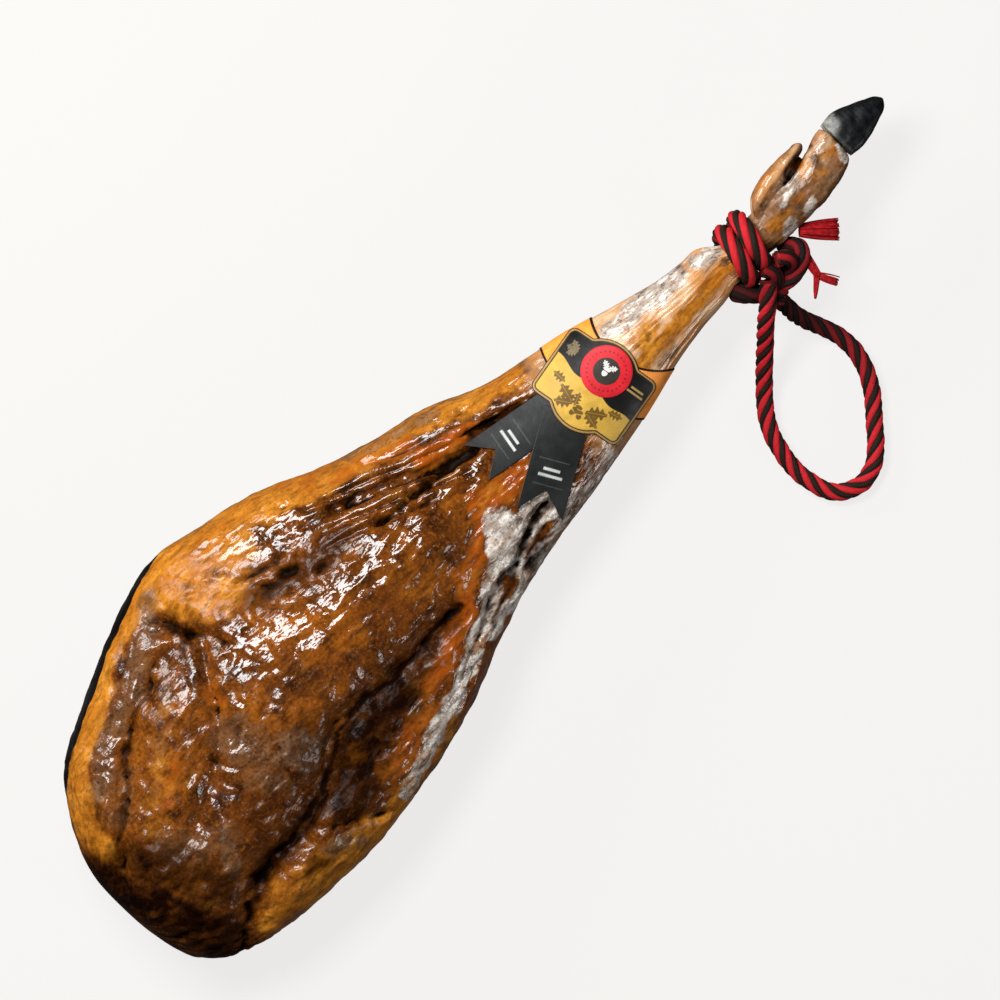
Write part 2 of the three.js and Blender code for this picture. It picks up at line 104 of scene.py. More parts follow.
FOOT_RADIUS = 14                    # turns an angle round it into a length
FOOT_BARE = (266, 274)              # X where the foot comes out of the rope
HORN_BEGINS = (376.9, 379)          # X where the horn's growth rings set in
WORN_CORNER = (376, 1)              # plan point in the middle of the scraped horn
PALE_LINE = 377                     # X of the pale line between skin and horn
FOOT_DRYNESS = 0.6                  # how much less oily its skin is than the meat

# The rope: six strands, three red and three dark, laid to the right.
ROPE_RADIUS = 7
WRAP_RADIUS = 7.5
KNOT_ROPE_RADIUS = 6.5
FREE_LAY = 54                       # length along the rope in which a strand goes once round
TIGHT_LAY = 82
STRANDS = 6
RED_SHARE = 0.55                    # of a red and dark pair's width
GROOVE = 0.3                        # depth between strands, as a share of the radius
DARK_SINK = 0.03                    # how much lower the dark strands lie
YARN_BUMP = 0.05                    # unevenness of a strand
YARN_SLANT = 0.45                   # of the yarns across a strand
ROPE_COLUMNS = 72
ROPE_STEP = 1.1
WRAP_START = 240.8                  # X where the first turn starts, on the knot's side
WRAP_PITCH = 15.4
WRAP_LEAN = 8.25                    # half of how far a turn leans to the hoof on the other side
WRAP_TURNS = 2
WRAP_STEP = 1 / 39.9                # share of the coil from point to point, the last step is shorter
WRAP_CENTRE = (-22.8, 58)
WRAP_REACH = (20, 25)
WRAP_LEAD_IN = [(262, -62, 52), (256, -58, 55), (248, -52, 58)]
WRAP_LEAD_OUT = [(274, -50, 50), (269, -56, 47), (263, -61, 46)]
BOW_ROUTE = [(289, -44, 50), (296, -46.5, 56), (299, -52, 60), (296.5, -58, 61), (290, -62.5, 59),
             (281, -64.5, 57), (272, -63.5, 55), (264, -62, 53)]
TUCK_ROUTE = [(279, -46, 77), (285, -50.5, 73), (286.5, -55, 66), (281, -58.5, 58), (272, -60, 52),
              (264, -61, 48)]
CROSS_ROUTE = [(266, -44, 71), (270, -50, 68), (269, -56, 62), (264, -61, 55), (258, -64, 48)]
# The knot's strands: route, turn of the strands, least and most painted shade and the heights they belong
# to.
KNOT_STRANDS = [("bow", BOW_ROUTE, 1.0, (0.68, 0.68), (62, 50)),
                ("tuck", TUCK_ROUTE, 2.0, (0.3, 1), (78, 60)),
                ("cross", CROSS_ROUTE, 0.4, (0.6, 1), (72, 60))]
COLLAR_CENTRE = (261, -64.5, 52)
HITCH_AXIS = (-0.62, -0.72, -0.3)
HITCH_RADIUS = 5
HITCH_REACH = 5
HITCH_TURNS = 1.4
HITCH_PITCH = 5
LOOP_ROUTE = [
    (262.5, -53.5, 70), (256, -60.2, 66), (248.2, -67.2, 60), (239, -75, 50), (228.6, -85.2, 35),
    (216.9, -96.3, 22), (205.4, -107.8, 12.5), (194.1, -120.1, 8.4), (184.6, -134.3, 7.4),
    (178.7, -151.9, 7.4), (176, -170.6, 7.4), (178.2, -188.8, 7.4), (183.3, -202.3, 7.4),
    (193.4, -210.8, 7.4), (206.2, -214.4, 7.4), (221, -210.6, 7.4), (233.4, -200.9, 7.4),
    (246.7, -186.3, 7.4), (258.1, -173.7, 7.4), (267.5, -159.3, 7.4), (273.1, -144.2, 7.4),
    (274.4, -128.2, 7.4), (271.4, -113.9, 9), (266.6, -101.8, 14), (262.8, -92, 22), (261, -83.5, 31),
    (260.5, -76, 39), (260.5, -68, 47),
]
# Painted shade on the rope where it lies in shadow:
SHADE_END = (150, 30)               # lengths from the loop's far end where the painted shade sets in and is full
SHADE_START = (26, 8)               # and from its near end
SHADE_LEADS = (50, 34)              # and from the ends of the turns
SHADE_BELOW = (70, 50)              # heights at which the turns' painted shade sets in and is full
# Tufts of loose yarn: yarns, length, root and tip radius across and in height, place and turn.
UPPER_TUFTS = [(190, 31, (4.6, 4.6), (9.6, 4.4), (308, -43.5, 56), (0, 6, -44))]
LOWER_TUFTS = [
    (60, 19, (4.4, 4), (3, 3), (296.5, -61.5, 57), (0, 0, -101)),
    (26, 18.5, (2.4, 2.4), (0.9, 0.9), (293, -77, 57), (0, 0, -140)),
    (30, 17.5, (2, 2), (4.4, 3), (293, -77, 57), (0, 0, -62)),
]
YARN_RADIUS = 0.8
YARN_ROWS = 7
YARN_SIDES = 5

# The label: a band round the leg, ribbon tails, a badge and a round seal, each a little higher.
PAPER = 0.35
BAND_LIFT = 0.45
TAIL_LIFTS = (0.5, 0.95)
TAIL_TUCK = 16                      # length of each tail that lies under the badge
BADGE_LIFT = 1.45
SEAL_LIFT = 1.95
BADGE_CENTRE = (112.7, -13.4)
BADGE_TURN = -81                    # degrees from X to the line its print runs along
BADGE_HALF_WIDTH = 40.3
BADGE_SHOULDER = 29.6
BADGE_ARC = (21, 8.4)               # half width and rise of the bow on the top and bottom edge
BADGE_CORNER = 6.5
BADGE_RAYS = 480
BADGE_RINGS = 100
SEAL_CENTRE = (127.3, -12.4)
SEAL_RADIUS = 20
SEAL_CORE = 10.5                    # radius of the dark middle
SEAL_DOT_RING = 15.2
SEAL_DOTS = 28
# The badge's print in its own axes. Leaves: root, direction, length. Acorns: root, direction.
LEAVES = [((-6, -20), 155, 17), ((-6, -20), 205, 15), ((-4, -21), 100, 11), ((6, -20), 25, 17),
          ((6, -20), -22, 15), ((-20, -10), 170, 12), ((20, -10), 8, 12)]
ACORNS = [((-1.5, -23), 250), ((2.5, -23), 290), ((0, -20), 270)]
PALE_LEAVES = [((-25, 14), 140, 10), ((-25, 14), 215, 9), ((-26, 14), 178, 9)]
BADGE_BARS = [((29, 16), 5.5), ((29, 12.5), 7)]  # middle and half length
# Border lines: distance from the edge, half width, colour.
BADGE_LINES = [(0, 0.75, "#2A1C0E"), (1.35, 0.6, "#A8854F"), (2.5, 0.5, "#2A1C0E")]
SEAL_LEAVES = [((0, 2), 35, 7.5), ((0, 2), 145, 7.5)]
SEAL_LINE = 19.2                    # radius of a thin line by its edge
TAIL_BARS = ((30.5, 6.5), (35.5, 9.5))  # place along a ribbon tail and half length
TAIL_RULES = (33, 10, 12)           # middle of two thin rules, half their distance, half their length
BAND_LINE = 2                       # width of the dark line along its edges
BAND_EDGES = (113, 158)             # X of its edges on the sides of the leg
BAND_LEAN = 8                       # towards the butt on the +Y side, towards the hoof on the other
BAND_DIP = 16                       # towards the butt on top
BAND_COLUMNS = 60
BAND_RAYS = 300
# Ribbon tails: start and end in plan, half width, depth of the swallow-tail cut.
TAILS = {
    "ribbon_left": ((72, -2), (8, 10.5), 16.5, 18),
    "ribbon_right": ((71, -20), (13.5, -51.5), 18, 19),
}

# Long folds beside the upper roll: middle, half length and half width, direction, spacing and height.
PLEAT_MIDDLE = (-48, 44)
PLEAT_REACH = (66, 26)
PLEAT_TURN = -21.5
PLEAT_SPACING = 12.5
PLEAT_HEIGHT = 5.6
PLEAT_SINK = 4                      # depth of the creases between them

LEG_ROWS = 440
LEG_COLUMNS = 222
LEG_END = 694                       # the leg's mesh ends here, under the rope
FINE_UNTIL = 515                    # rows are close together up to here
SHANK_DENSITY = 0.6
WIDEST = 200.0                      # from the butt, the section that the columns are shared on
UNDER_DENSITY = 0.42                # columns on the unseen side
UNDER_BEGINS = -0.25                # sine of the angle where it begins

# Folds of the inner face: depth (+ is up), half width, plan points in leg axes.
MAIN_FOLDS = [
    (-7, 10, [(-247, 99), (-240, 85), (-233, 71)]),
    (-5, 8, [(-256, 77), (-284, 73), (-311, 65), (-338, 48), (-363, 26), (-385, 5), (-405, -14)]),
    (-4, 7, [(-240, 60), (-258, 33), (-281, 3), (-310, -15), (-345, -31)]),
    (-12, 12, [(-85, -56), (-146, -58), (-206, -54), (-243, -74), (-288, -88), (-326, -90),
               (-369, -111), (-382, -119)]),
    (-7, 22, [(-150, -80), (-196, -84), (-230, -80)]),
    (-7, 7, [(-91, 64), (-67, 55), (-30, 38), (10, 24), (57, 15), (82, 6)]),
    (-5, 6, [(20, -49), (-17, -64), (-58, -72), (-88, -84)]),
]
# Swells: height, middle, half length and half width, turn in degrees.
SWELLS = [(9, (-140, 2), 95, 36, 6), (5, (-297, 36), 42, 18, 48), (5, (-110, 84), 80, 14, -24),
          (5, (-300, -112), 60, 14, 8), (5.5, (-60, -6), 30, 25, -8)]
VALLEY = [(-85, -56), (-115, -58), (-146, -58), (-168, -56), (-192, -53), (-206, -52), (-229, -58),
          (-243, -76), (-268, -86), (-287, -88), (-308, -87), (-326, -89), (-345, -95), (-369, -111),
          (-386, -121)]
CREASE = [(-250, 84), (-279, 76), (-311, 64), (-338, 48), (-363, 25), (-385, 5), (-403, -10)]
FURROW = [(-91, 64), (-79, 61), (-67, 55), (-51, 50), (-30, 38), (-18, 32), (-4, 27), (10, 24),
          (19, 18)]
SKIN_CRACK = [(34, -54), (20, -49), (2, -55), (-17, -64), (-44, -67), (-58, -72), (-73, -79),
              (-88, -84)]
FINE_FOLDS = [
    (-3.2, 2.3, VALLEY),
    (-2.6, 1.8, CREASE),
    (-3.2, 2.4, FURROW),
    (-4.5, 3.2, [(-76, 34), (-58, 28), (-42, 26), (-30, 25), (-18, 25), (-3, 22), (12, 18)]),
    (-2.5, 2, [(-64, 18), (-53, 20), (-41, 18), (-28, 14)]),
    (-6, 4.5, [(17, 31), (37, 24), (57, 16), (69, 10), (82, 6)]),
    (-2.5, 3, [(11, 52), (22, 50), (33, 46)]),
    (-2.2, 2.4, [(-116, 93), (-128, 95), (-143, 100)]),
    (-3.5, 2.2, SKIN_CRACK),
    (-3, 5, [(8, -62), (-17, -71), (-30, -75)]),
    (-2, 2, [(-240, 60), (-256, 34), (-270, 15), (-284, 0), (-310, -16)]),
    (-2.8, 2.2, [(-252, 109), (-244, 91), (-237, 78)]),
    (-2.4, 2, [(-237, 78), (-229, 66), (-223, 52)]),
    (-2.5, 2, [(-244, 91), (-227, 99), (-212, 96)]),
    (-2.5, 2, [(-239, 79), (-246, 74), (-252, 70)]),
    (-1.8, 1.8, [(-232, 112), (-236, 100), (-240, 96)]),
    (-1.8, 1.8, [(-256, 100), (-250, 92), (-247, 86)]),
    (-1.8, 1.8, [(-222, 84), (-230, 78), (-236, 78)]),
    (-2.2, 2.4, [(-139, 56), (-156, 58), (-172, 58)]),
    (-2.4, 12, [(-184, 60), (-158, 54), (-130, 47)]),
    (-2, 2.4, [(-150, 68), (-170, 74), (-188, 80)]),
    (-2.4, 2.6, [(-151, -82), (-174, -85), (-196, -89), (-223, -94)]),
    (-2.4, 2.4, [(-224, -130), (-241, -122), (-256, -111), (-278, -94)]),
    (-1.8, 2, [(-120, 38), (-146, 40), (-178, 44), (-204, 48)]),
]

# Where each finish of the meat, and its painted shade, lies: half width, strength, plan points in leg axes.
FAT = [
    (11, 1, [(-202, 138), (-224, 133), (-258, 124)]),
    (7.5, 1, [(-258, 124), (-291, 109), (-322, 92), (-351, 77), (-375, 64), (-391, 53), (-405, 34)]),
    (12, 0.9, [(-60, 86), (-14, 70), (26, 56), (75, 39)]),
    (18, 0.9, [(-205, 136), (-174, 128), (-142, 117), (-112, 103), (-81, 91), (-48, 81)]),
    (14, 0.85, [(-235, 123), (-222, 98), (-206, 82), (-193, 77)]),
    (15, 0.85, [(-222, 125), (-187, 106), (-164, 96)]),
    (8, 0.95, [(-356, -121), (-318, -127), (-279, -132), (-240, -132), (-212, -127)]),
    (13, 0.6, [(-331, -114), (-294, -120), (-250, -126)]),
    (6, 0.8, [(-212, -127), (-177, -119), (-147, -112)]),
    (11, 0.8, [(-385, 47), (-400, 29), (-402, 9)]),
    (16, 0.35, [(-288, 56), (-329, 11), (-362, -10)]),
    (8, 0.9, [(247, -21), (217, -25), (195, -25), (172, -29), (152, -28)]),
    (6, 0.65, [(178, -11), (160, -16)]),
]
RED = [
    (8, 0.75, [(-18, -25), (-36, -34), (-61, -47), (-80, -60), (-101, -72), (-119, -80), (-141, -85)]),
    (11, 0.9, [(28, -19), (6, -17), (-13, -14)]),
    (8, 0.9, [(-16, 42), (10, 35), (24, 31)]),
    (8, 0.45, [(-103, 102), (-72, 89)]),
    (10, 0.4, [(-313, 16), (-340, 0)]),
    (7, 0.55, [(-75, 79), (-45, 69), (-16, 58)]),
    (10, 0.5, [(-196, -105), (-176, -99), (-156, -94)]),
    (6, 0.5, [(-256, 34), (-256, 23)]),
]
SKIN = [
    (11, 1, [(-13, -35), (-14, -52), (4, -50), (24, -50)]),
    (9, 1, [(-28, -48), (-27, -62)]),
    (5, 0.85, [(-8, -70), (-34, -78), (-62, -84), (-77, -90)]),
    (6, 1, [(-34, -52), (-61, -69), (-89, -83), (-106, -93), (-132, -105), (-158, -111),
            (-180, -116), (-208, -126)]),
    (10, 0.55, [(81, -55), (54, -66), (24, -74), (-11, -81)]),
    (8, 0.85, [(154, 9), (177, 5), (200, 1), (222, 0)]),
    (6, 0.75, [(236, -4), (252, -8)]),
]
# Dark lean and painted shade: the valley, creases and furrows, the slopes turned from the light and the
# butt's lower end are darkened.
DARK_AND_SHADE = [
    (4, 0.9, [(12, 18), (-3, 22), (-16, 26), (-34, 29)]),
    (3.2, 1.1, [(-82, -55), (-114, -58), (-159, -58), (-189, -53), (-211, -54), (-230, -69),
                 (-258, -85)]),
    (12, 0.75, [(-95, -62), (-130, -64), (-165, -62)]),
    (12, 0.95, [(-180, -58), (-197, -59), (-213, -70), (-232, -83)]),
    (20, 0.6, [(-225, -42), (-262, -52), (-300, -62)]),
    (11, 0.95, [(-262, -84), (-283, -88), (-316, -84), (-340, -90)]),
    (5, 0.95, [(-335, -92), (-372, -110)]),
    (18, 1, [(-157, -68), (-184, -73), (-217, -83), (-244, -99)]),
    (22, 1, [(-421, -4), (-411, -37), (-396, -75), (-385, -107)]),
    (22, 0.85, [(-396, -11), (-373, -43), (-358, -75)]),
    (2, 0.9, [(-252, 109), (-244, 91)]),
    (6.5, 1, [(-243, 89), (-237, 77)]),
    (2.5, 0.8, [(-237, 77), (-230, 67)]),
    (3, 0.8, [(-239, 79), (-252, 70)]),
    (2.5, 0.7, [(-244, 91), (-227, 99)]),
    (2.5, 0.9, [(-225, 52), (-223, 50)]),
    (3, 0.6, [(-279, 77), (-317, 60)]),
    (3, 0.8, [(-317, 60), (-337, 48), (-367, 20), (-392, 4)]),
    (6, 0.7, [(-292, -117), (-299, -113)]),
    (11, 0.75, [(-187, 61), (-158, 54), (-128, 46), (-104, 42)]),
    (3.5, 0.9, [(34, -54), (-1, -53), (-25, -62), (-55, -75), (-73, -84)]),
    (7, 0.8, [(8, -63), (-17, -71)]),
    (5, 0.9, [(19, 25), (51, 16), (79, 6)]),
    (2.5, 0.6, [(169, -14), (164, -17)]),
]
BLOOM = [
    (18, 0.7, [(-270, -1), (-259, -28), (-240, -47)]),
    (12, 0.6, [(-284, -31), (-265, -55)]),
    (10, 0.75, [(-241, 117), (-293, 83), (-340, 66), (-369, 41)]),
    (8, 0.6, [(-349, 37), (-379, 18)]),
    (7, 0.5, [(-283, 62), (-300, 44), (-313, 30)]),
    (6, 0.75, [(-57, 85), (-17, 71), (15, 60)]),
    (15, 0.6, [(-365, -29), (-330, -49)]),
    (6, 0.9, [(-282, -114), (-268, -116)]),
    (4, 0.9, [(-261, -128), (-256, -129)]),
    (6, 0.8, [(-328, -52), (-344, -73)]),
    (4, 0.85, [(178, -39), (158, -41)]),
]
OIL = [
    (16, 1, [(-215, 36), (-186, 22), (-156, 8), (-126, 10), (-77, 9), (-29, -3)]),
    (22, 1, [(-92, 44), (-28, 24), (4, 10)]),
    (10, 0.9, [(-60, 84), (-14, 68), (26, 55), (75, 40)]),
    (14, 0.9, [(-176, 111), (-146, 91), (-109, 85), (-67, 72)]),
    (8, 1, [(-260, 11), (-244, 5)]),
]
MEAT_STROKES = {"fat": FAT, "red": RED, "skin": SKIN, "dark_and_shade": DARK_AND_SHADE, "bloom": BLOOM, "oil": OIL}
FOOT_STROKES = {
    "fat": [(6, 0.9, [(296, -27), (303, -29), (308, -29)]), (3.5, 0.9, [(338, -8), (344, -8)]),
            (5, 0.9, [(362, -17), (372, -20)]), (4, 0.8, [(320, -24), (327, -26)]),
            (4, 0.7, [(345, -22), (352, -25)])],
    "red": [(3, 0.4, [(318, -24), (328, -26)])],
    "skin": [(6, 0.5, [(314, -17), (326, -16), (334, -12)]), (5, 0.7, [(301, -37), (308, -37)]),
             (4, 0.65, [(322, -38), (330, -36)]),
             (4, 0.6, [(297, -42), (303, -44)]), (5, 0.8, [(372, -30), (376, -22)])],
    # Dark patches and painted shade: in the gap between dewclaw and toe, and along the side turned from the
    # light.
    "dark_and_shade": [(3.5, 1, [(330, -8), (342, -3), (358, -2)]), (6, 0.5, [(306, -20), (316, -24), (322, -30)]),
             (4, 0.7, [(354, -15), (352, -21)]),
             (6, 0.65, [(306, -47), (330, -43), (356, -42), (372, -38)])],
    "bloom": [(7, 0.8, [(322, -32), (340, -32), (356, -34)]), (8, 1, [(312, -20), (324, -20), (332, -15)]),
              (16, 0.6, [(296, -22), (372, -20)])],
    # Painted highlights: pale streaks along the dewclaw's and the toe's ridges, over the pale skin.
    "shank": [(4.5, 0.75, [(286, -5), (306, -3), (330, 0), (352, 1)]),
              (5, 0.85, [(336, -16), (350, -12), (372, -10)])],
    "oil": [(5, 1, [(306, -6), (330, 0), (350, 3)]), (6, 0.8, [(345, -18), (372, -12)])],
}
# Wrinkles: where they lie, height, level taken off crests (None for waves), seed, size along and across.
WRINKLES = [
    ("meat", 1.5, 0.35, 31, 60, 13), ("meat", 0.9, 0.35, 32, 27, 6.5), ("all", 2, None, 33, 24, 20),
    ("rugged", 1.7, None, 34, 14, 8), ("rugged", 0.9, None, 35, 9, 5), ("skin", 0.9, 0.4, 36, 9, 5),
    ("skin", 0.5, 0.4, 37, 4.6, 3.4), ("butt", 1.6, None, 38, 9, 9), ("butt", 0.9, None, 39, 4.5, 4.5),
]
FOOT_WRINKLES = [(0.7, None, 51, 16, 9), (0.4, 0.35, 52, 16, 4), (0.3, None, 53, 5, 4),
                 (0.15, None, 54, 2.4, 2.4)]
# How drawn lines sway: seeds for X and Y, reach and size of each wave.
FOLD_SWAY = [(21, 22, 4, 17), (23, 24, 2, 5)]
FINISH_SWAY = [(1, 3, 7, 30), (2, 4, 3, 11)]
FOOT_SWAY = [(5, 6, 3, 12)]
MEAN_RADIUS = 58                    # turns an angle round the thigh into a length
ROUGH_BUTT = (30, 120)              # from the butt, where its rough face ends
SHANK_TURNS_PALE = (470, 560)       # from the butt, where the pale skin of the shank begins
LABEL_EDGES = (-5, 10, 172, 180)    # X between which the leg is kept smooth for the papers
SHANK_FLATTENS = (80, 110)          # X where the wrinkles get lower
BUTT_EDGE = (0, 12)                 # from the butt, where the wrinkles set in
SIDE_RISE = (-0.15, 0.4)            # sine of the angle round a section where they get full
SHOWN_RISE = (-0.15, 0.1)           # and where the shown side's finishes begin
HOLLOW_SHADE_END = (30, 60)              # X where the painted shade in the hollows stops
UNDER_PAPER = 0.3                   # highest wrinkle under the papers
UNDER_FAT = 0.75                    # share of fat on the unseen side
HOLLOW_SHADE_DEPTH = (-1.7, -4)           # of wrinkles, from where the painted shade in their hollows sets in to where it is darkest
RIM_WIDTH = 6                       # of the near-black band painted past the fat by the outline, beside the butt
RIM_REACH = (22, 60, 170, 225)      # from the butt, where it sets in, is full, thins and ends

# Clouds of the meat's colour and bump: name, stretched along the fibres, size in mm, detail, roughness.
MEAT_CLOUDS = [("patch", False, 46, 4, 0.6), ("mottle", False, 19, 6, 0.62), ("grain", True, 5, 5, 0.6),
               ("speck", False, 2.6, 3, 0.6), ("marble", True, 8, 7, 0.68),
               ("dimple", True, 6, 1.6, 0.45), ("pore", False, 2.1, 0.5, 0.3)]
# Each finish and each painted shade: its ground, then cloud, the two cloud values its tint goes from and to,
# strength and tint.
MEAT_TINTS = {
    "lean": ("#653309", [("mottle", 0.53, 0.36, 0.95, "#2E1302"), ("patch", 0.5, 0.68, 0.75, "#9A5510"),
                         ("marble", 0.56, 0.72, 0.5, "#8F6322"), ("grain", 0.5, 0.3, 0.7, "#2B1103"),
                         ("speck", 0.48, 0.3, 0.5, "#2B1103"), ("speck", 0.54, 0.7, 0.4, "#A8641C")]),
    "shank": ("#C48A54", [("patch", 0.44, 0.6, 0.8, "#DCB892"), ("mottle", 0.52, 0.66, 0.8, "#C0701E"),
                          ("marble", 0.48, 0.32, 0.7, "#94765C"), ("grain", 0.44, 0.3, 0.3, "#5A3A20")]),
    "fat": ("#B06C1C", [("mottle", 0.48, 0.66, 0.85, "#C8862E"), ("marble", 0.5, 0.32, 0.8, "#7C4810"),
                        ("patch", 0.5, 0.36, 0.5, "#A2540F"), ("grain", 0.5, 0.32, 0.8, "#6E3F0E"),
                        ("speck", 0.48, 0.34, 0.6, "#7A4712")]),
    "red": ("#984809", [("mottle", 0.5, 0.66, 0.8, "#AE6A1E"), ("grain", 0.48, 0.3, 0.6, "#642C05")]),
    "bloom": ("#5E452F", [("marble", 0.48, 0.66, 0.8, "#927B66"), ("speck", 0.5, 0.34, 0.85, "#30190A"),
                          ("mottle", 0.52, 0.66, 0.6, "#7A4A1C")]),
    "skin": ("#A8988A", [("marble", 0.49, 0.58, 0.95, "#E6DED4"), ("marble", 0.45, 0.36, 0.9, "#38241A"),
                         ("mottle", 0.54, 0.66, 0.7, "#96602C"), ("speck", 0.46, 0.32, 0.7, "#3A2C20")]),
    "dark_and_shade": ("#170702", [("marble", 0.52, 0.7, 0.7, "#40220C")]),
    "hollow": ("#0C0501", [("mottle", 0.5, 0.7, 0.5, "#241003")]),
    "rim": ("#0A0605", [("mottle", 0.5, 0.7, 0.5, "#15100C")]),
}
# How the finishes and the painted shade lie over each other: name, the cloud that frays its edge, how far,
# and where it sets in.
MEAT_LAYERS = [("shank", "mottle", 0.2, 0.2, 0.8), ("fat", "mottle", 0.28, 0.28, 0.72),
               ("red", "grain", 0.2, 0.25, 0.8), ("bloom", "mottle", 0.4, 0.3, 1.1),
               ("skin", "marble", 0.22, 0.3, 0.62), ("dark_and_shade", "mottle", 0.28, 0.3, 1.05),
               ("hollow", "grain", 0.25, 0.2, 0.95), ("rim", "speck", 0.05, 0.3, 0.6)]


def smoothstep(low, high, value):
    """Eases from 0 at low to 1 at high, as 3t^2 - 2t^3."""
    t = np.clip((value - low) / (high - low), 0, 1)
    return t * t * (3 - 2 * t)


def signed_power(value, power):
    """The power of a value's size, with the value's sign."""
    return np.sign(value) * np.abs(value) ** power


def noise(seed, x, y):
    """Gradient noise from about -0.7 to 0.7: random slopes on whole places of x and y, eased between."""
    slopes = np.random.default_rng(seed).uniform(0, 2 * math.pi, (256, 256))
    i = np.floor(x).astype(int)
    j = np.floor(y).astype(int)
    u = x - i
    v = y - j

    def corner(right, up):
        angle = slopes[(i + right) % 256, (j + up) % 256]
        return np.cos(angle) * (u - right) + np.sin(angle) * (v - up)

    ease_u = u * u * u * (u * (6 * u - 15) + 10)
    ease_v = v * v * v * (v * (6 * v - 15) + 10)
    below = corner(0, 0) * (1 - ease_u) + corner(1, 0) * ease_u
    above = corner(0, 1) * (1 - ease_u) + corner(1, 1) * ease_u
    return below * (1 - ease_v) + above * ease_v


def crest(wave):
    """Sharp crests from 0 to 1 where a noise crosses zero."""
    return (1 - np.minimum(1, 2.4 * np.abs(wave))) ** 2


def wrinkle(along, across, rise, level, seed, long, wide):
    """One layer of wrinkles: waves of noise, or its crests less a level."""
    wave = noise(seed, along / long, across / wide)
    return rise * (wave if level is None else crest(wave) - level)


def distance_to(points, x, y):
    """Plan distance from each place to a line of straight stretches."""
    nearest = np.full(np.shape(x), np.inf)
    for (ax, ay), (bx, by) in zip(points, points[1:]):
        along = ((x - ax) * (bx - ax) + (y - ay) * (by - ay)) / ((bx - ax) ** 2 + (by - ay) ** 2)
        t = np.clip(along, 0, 1)
        nearest = np.minimum(nearest, np.hypot(x - ax - t * (bx - ax), y - ay - t * (by - ay)))
    return nearest


def strokes(rows, x, y):
    """Share of a finish at each place: the strongest of its strokes, each fading past its half width."""
    share = np.zeros(np.shape(x))
    for half_width, strength, points in rows:
        fade = smoothstep(1.7 * half_width, 0.3 * half_width, distance_to(points, x, y))
        share = np.maximum(share, strength * fade)
    return share


def turned(u, v, place, degrees):
    """Axes of a pattern that stands at a place and is turned by some degrees."""
    c = math.cos(math.radians(degrees))
    s = math.sin(math.radians(degrees))
    return (u - place[0]) * c + (v - place[1]) * s, (v - place[1]) * c - (u - place[0]) * s


def wandering(x, y, *waves):
    """Plan axes that sway by noise: each wave has a seed for X, a seed for Y, a reach and a size."""
    to_x = sum(reach * noise(seed, x / size, y / size) for seed, _, reach, size in waves)
    to_y = sum(reach * noise(seed, x / size, y / size) for _, seed, reach, size in waves)
    return x + to_x, y + to_y


def catmull(rows, s):
    """Catmull-Rom curve through a table's rows, with an equal share of s from 0 to 1 for each row."""
    rows = np.asarray(rows, float)
    place = np.clip(s, 0, 1) * (len(rows) - 1)
    index = np.minimum(place.astype(int), len(rows) - 2)
    t = (place - index)[..., None]
    start = rows[index]
    end = rows[index + 1]
    leave = (end - rows[np.maximum(index - 1, 0)]) / 2
    arrive = (rows[np.minimum(index + 2, len(rows) - 1)] - start) / 2
    bend = 3 * (end - start) - 2 * leave - arrive
    twist = 2 * (start - end) + leave + arrive
    return start + t * (leave + t * (bend + t * twist))


FINE_STATIONS = catmull(LEG_STATIONS, np.linspace(0, 1, 6001))


def leg_station(from_butt):
    """Edges, underside and top of the leg at a distance from the butt."""
    return [np.interp(from_butt, FINE_STATIONS[:, 0], FINE_STATIONS[:, k]) for k in range(1, 5)]


def leg_squareness(from_butt):
    """Superellipse power of the leg's section."""
    share = smoothstep(*SHANK_BEGINS, from_butt)
    return MEAT_SQUARENESS + (SHANK_SQUARENESS - MEAT_SQUARENESS) * share


def section(edges, angle, power, size=1):
    """Superellipse y = mid + half*cos^(2/p), z = mid + half*sin^(2/p), angle 0 on the +Y side."""
    y_low, y_high, z_low, z_high = edges
    y = (y_low + y_high) / 2 + size * (y_high - y_low) / 2 * signed_power(np.cos(angle), 2 / power)
    z = (z_low + z_high) / 2 + size * (z_high - z_low) / 2 * signed_power(np.sin(angle), 2 / power)
    return y, z


def leg_section(from_butt, angle):
    """Y and Z of the leg's section at a distance from the butt."""
    return section(leg_station(from_butt), angle, leg_squareness(from_butt))


def spaced(curve, weight, count):
    """Places along a curve's own parameter, from 0 to 1, so that its weighted length is shared evenly."""
    step = np.linalg.norm(np.diff(curve, axis=0), axis=1) * (weight[1:] + weight[:-1]) / 2
    length = np.concatenate([[0], np.cumsum(step)])
    return np.interp(np.linspace(0, length[-1], count), length, np.linspace(0, 1, len(curve)))


def main_relief(x, y):
    """Height of the large muscles, rolls and folds, each a bell exp(-(distance / width)^2)."""
    height = np.zeros(np.shape(x))
    for depth, width, points in MAIN_FOLDS:
        height += depth * np.exp(-(distance_to(points, x, y) / width) ** 2)
    for rise, middle, long, wide, turn in SWELLS:
        along, across = turned(x, y, middle, turn)
        height += rise * np.exp(-(along / long) ** 2 - (across / wide) ** 2)
    return height * (1 - smoothstep(*LABEL_CLEAR, x))


def surface_normals(rings):
    """Outward unit normals of a ring grid, from the differences of neighbouring points."""
    round_way = np.roll(rings, -1, axis=1) - np.roll(rings, 1, axis=1)
    long_way = np.gradient(rings, axis=0)
    normals = np.cross(round_way, long_way)
    normals /= np.maximum(np.linalg.norm(normals, axis=2, keepdims=True), 1e-9)
    away = rings - rings.mean(axis=1, keepdims=True)
    return normals * np.sign((normals * away).sum())


def outward(points, *groups):
    """The faces of a closed mesh in one list, turned round if they enclose a negative volume."""
    triangles = np.vstack([np.vstack([g[:, [0, k - 1, k]] for k in range(2, g.shape[1])]) for g in groups])
    corners = points[triangles]
    volume = (corners[:, 0] * np.cross(corners[:, 1], corners[:, 2])).sum()
    step = 1 if volume > 0 else -1
    return [face for group in groups for face in group[:, ::step].tolist()]


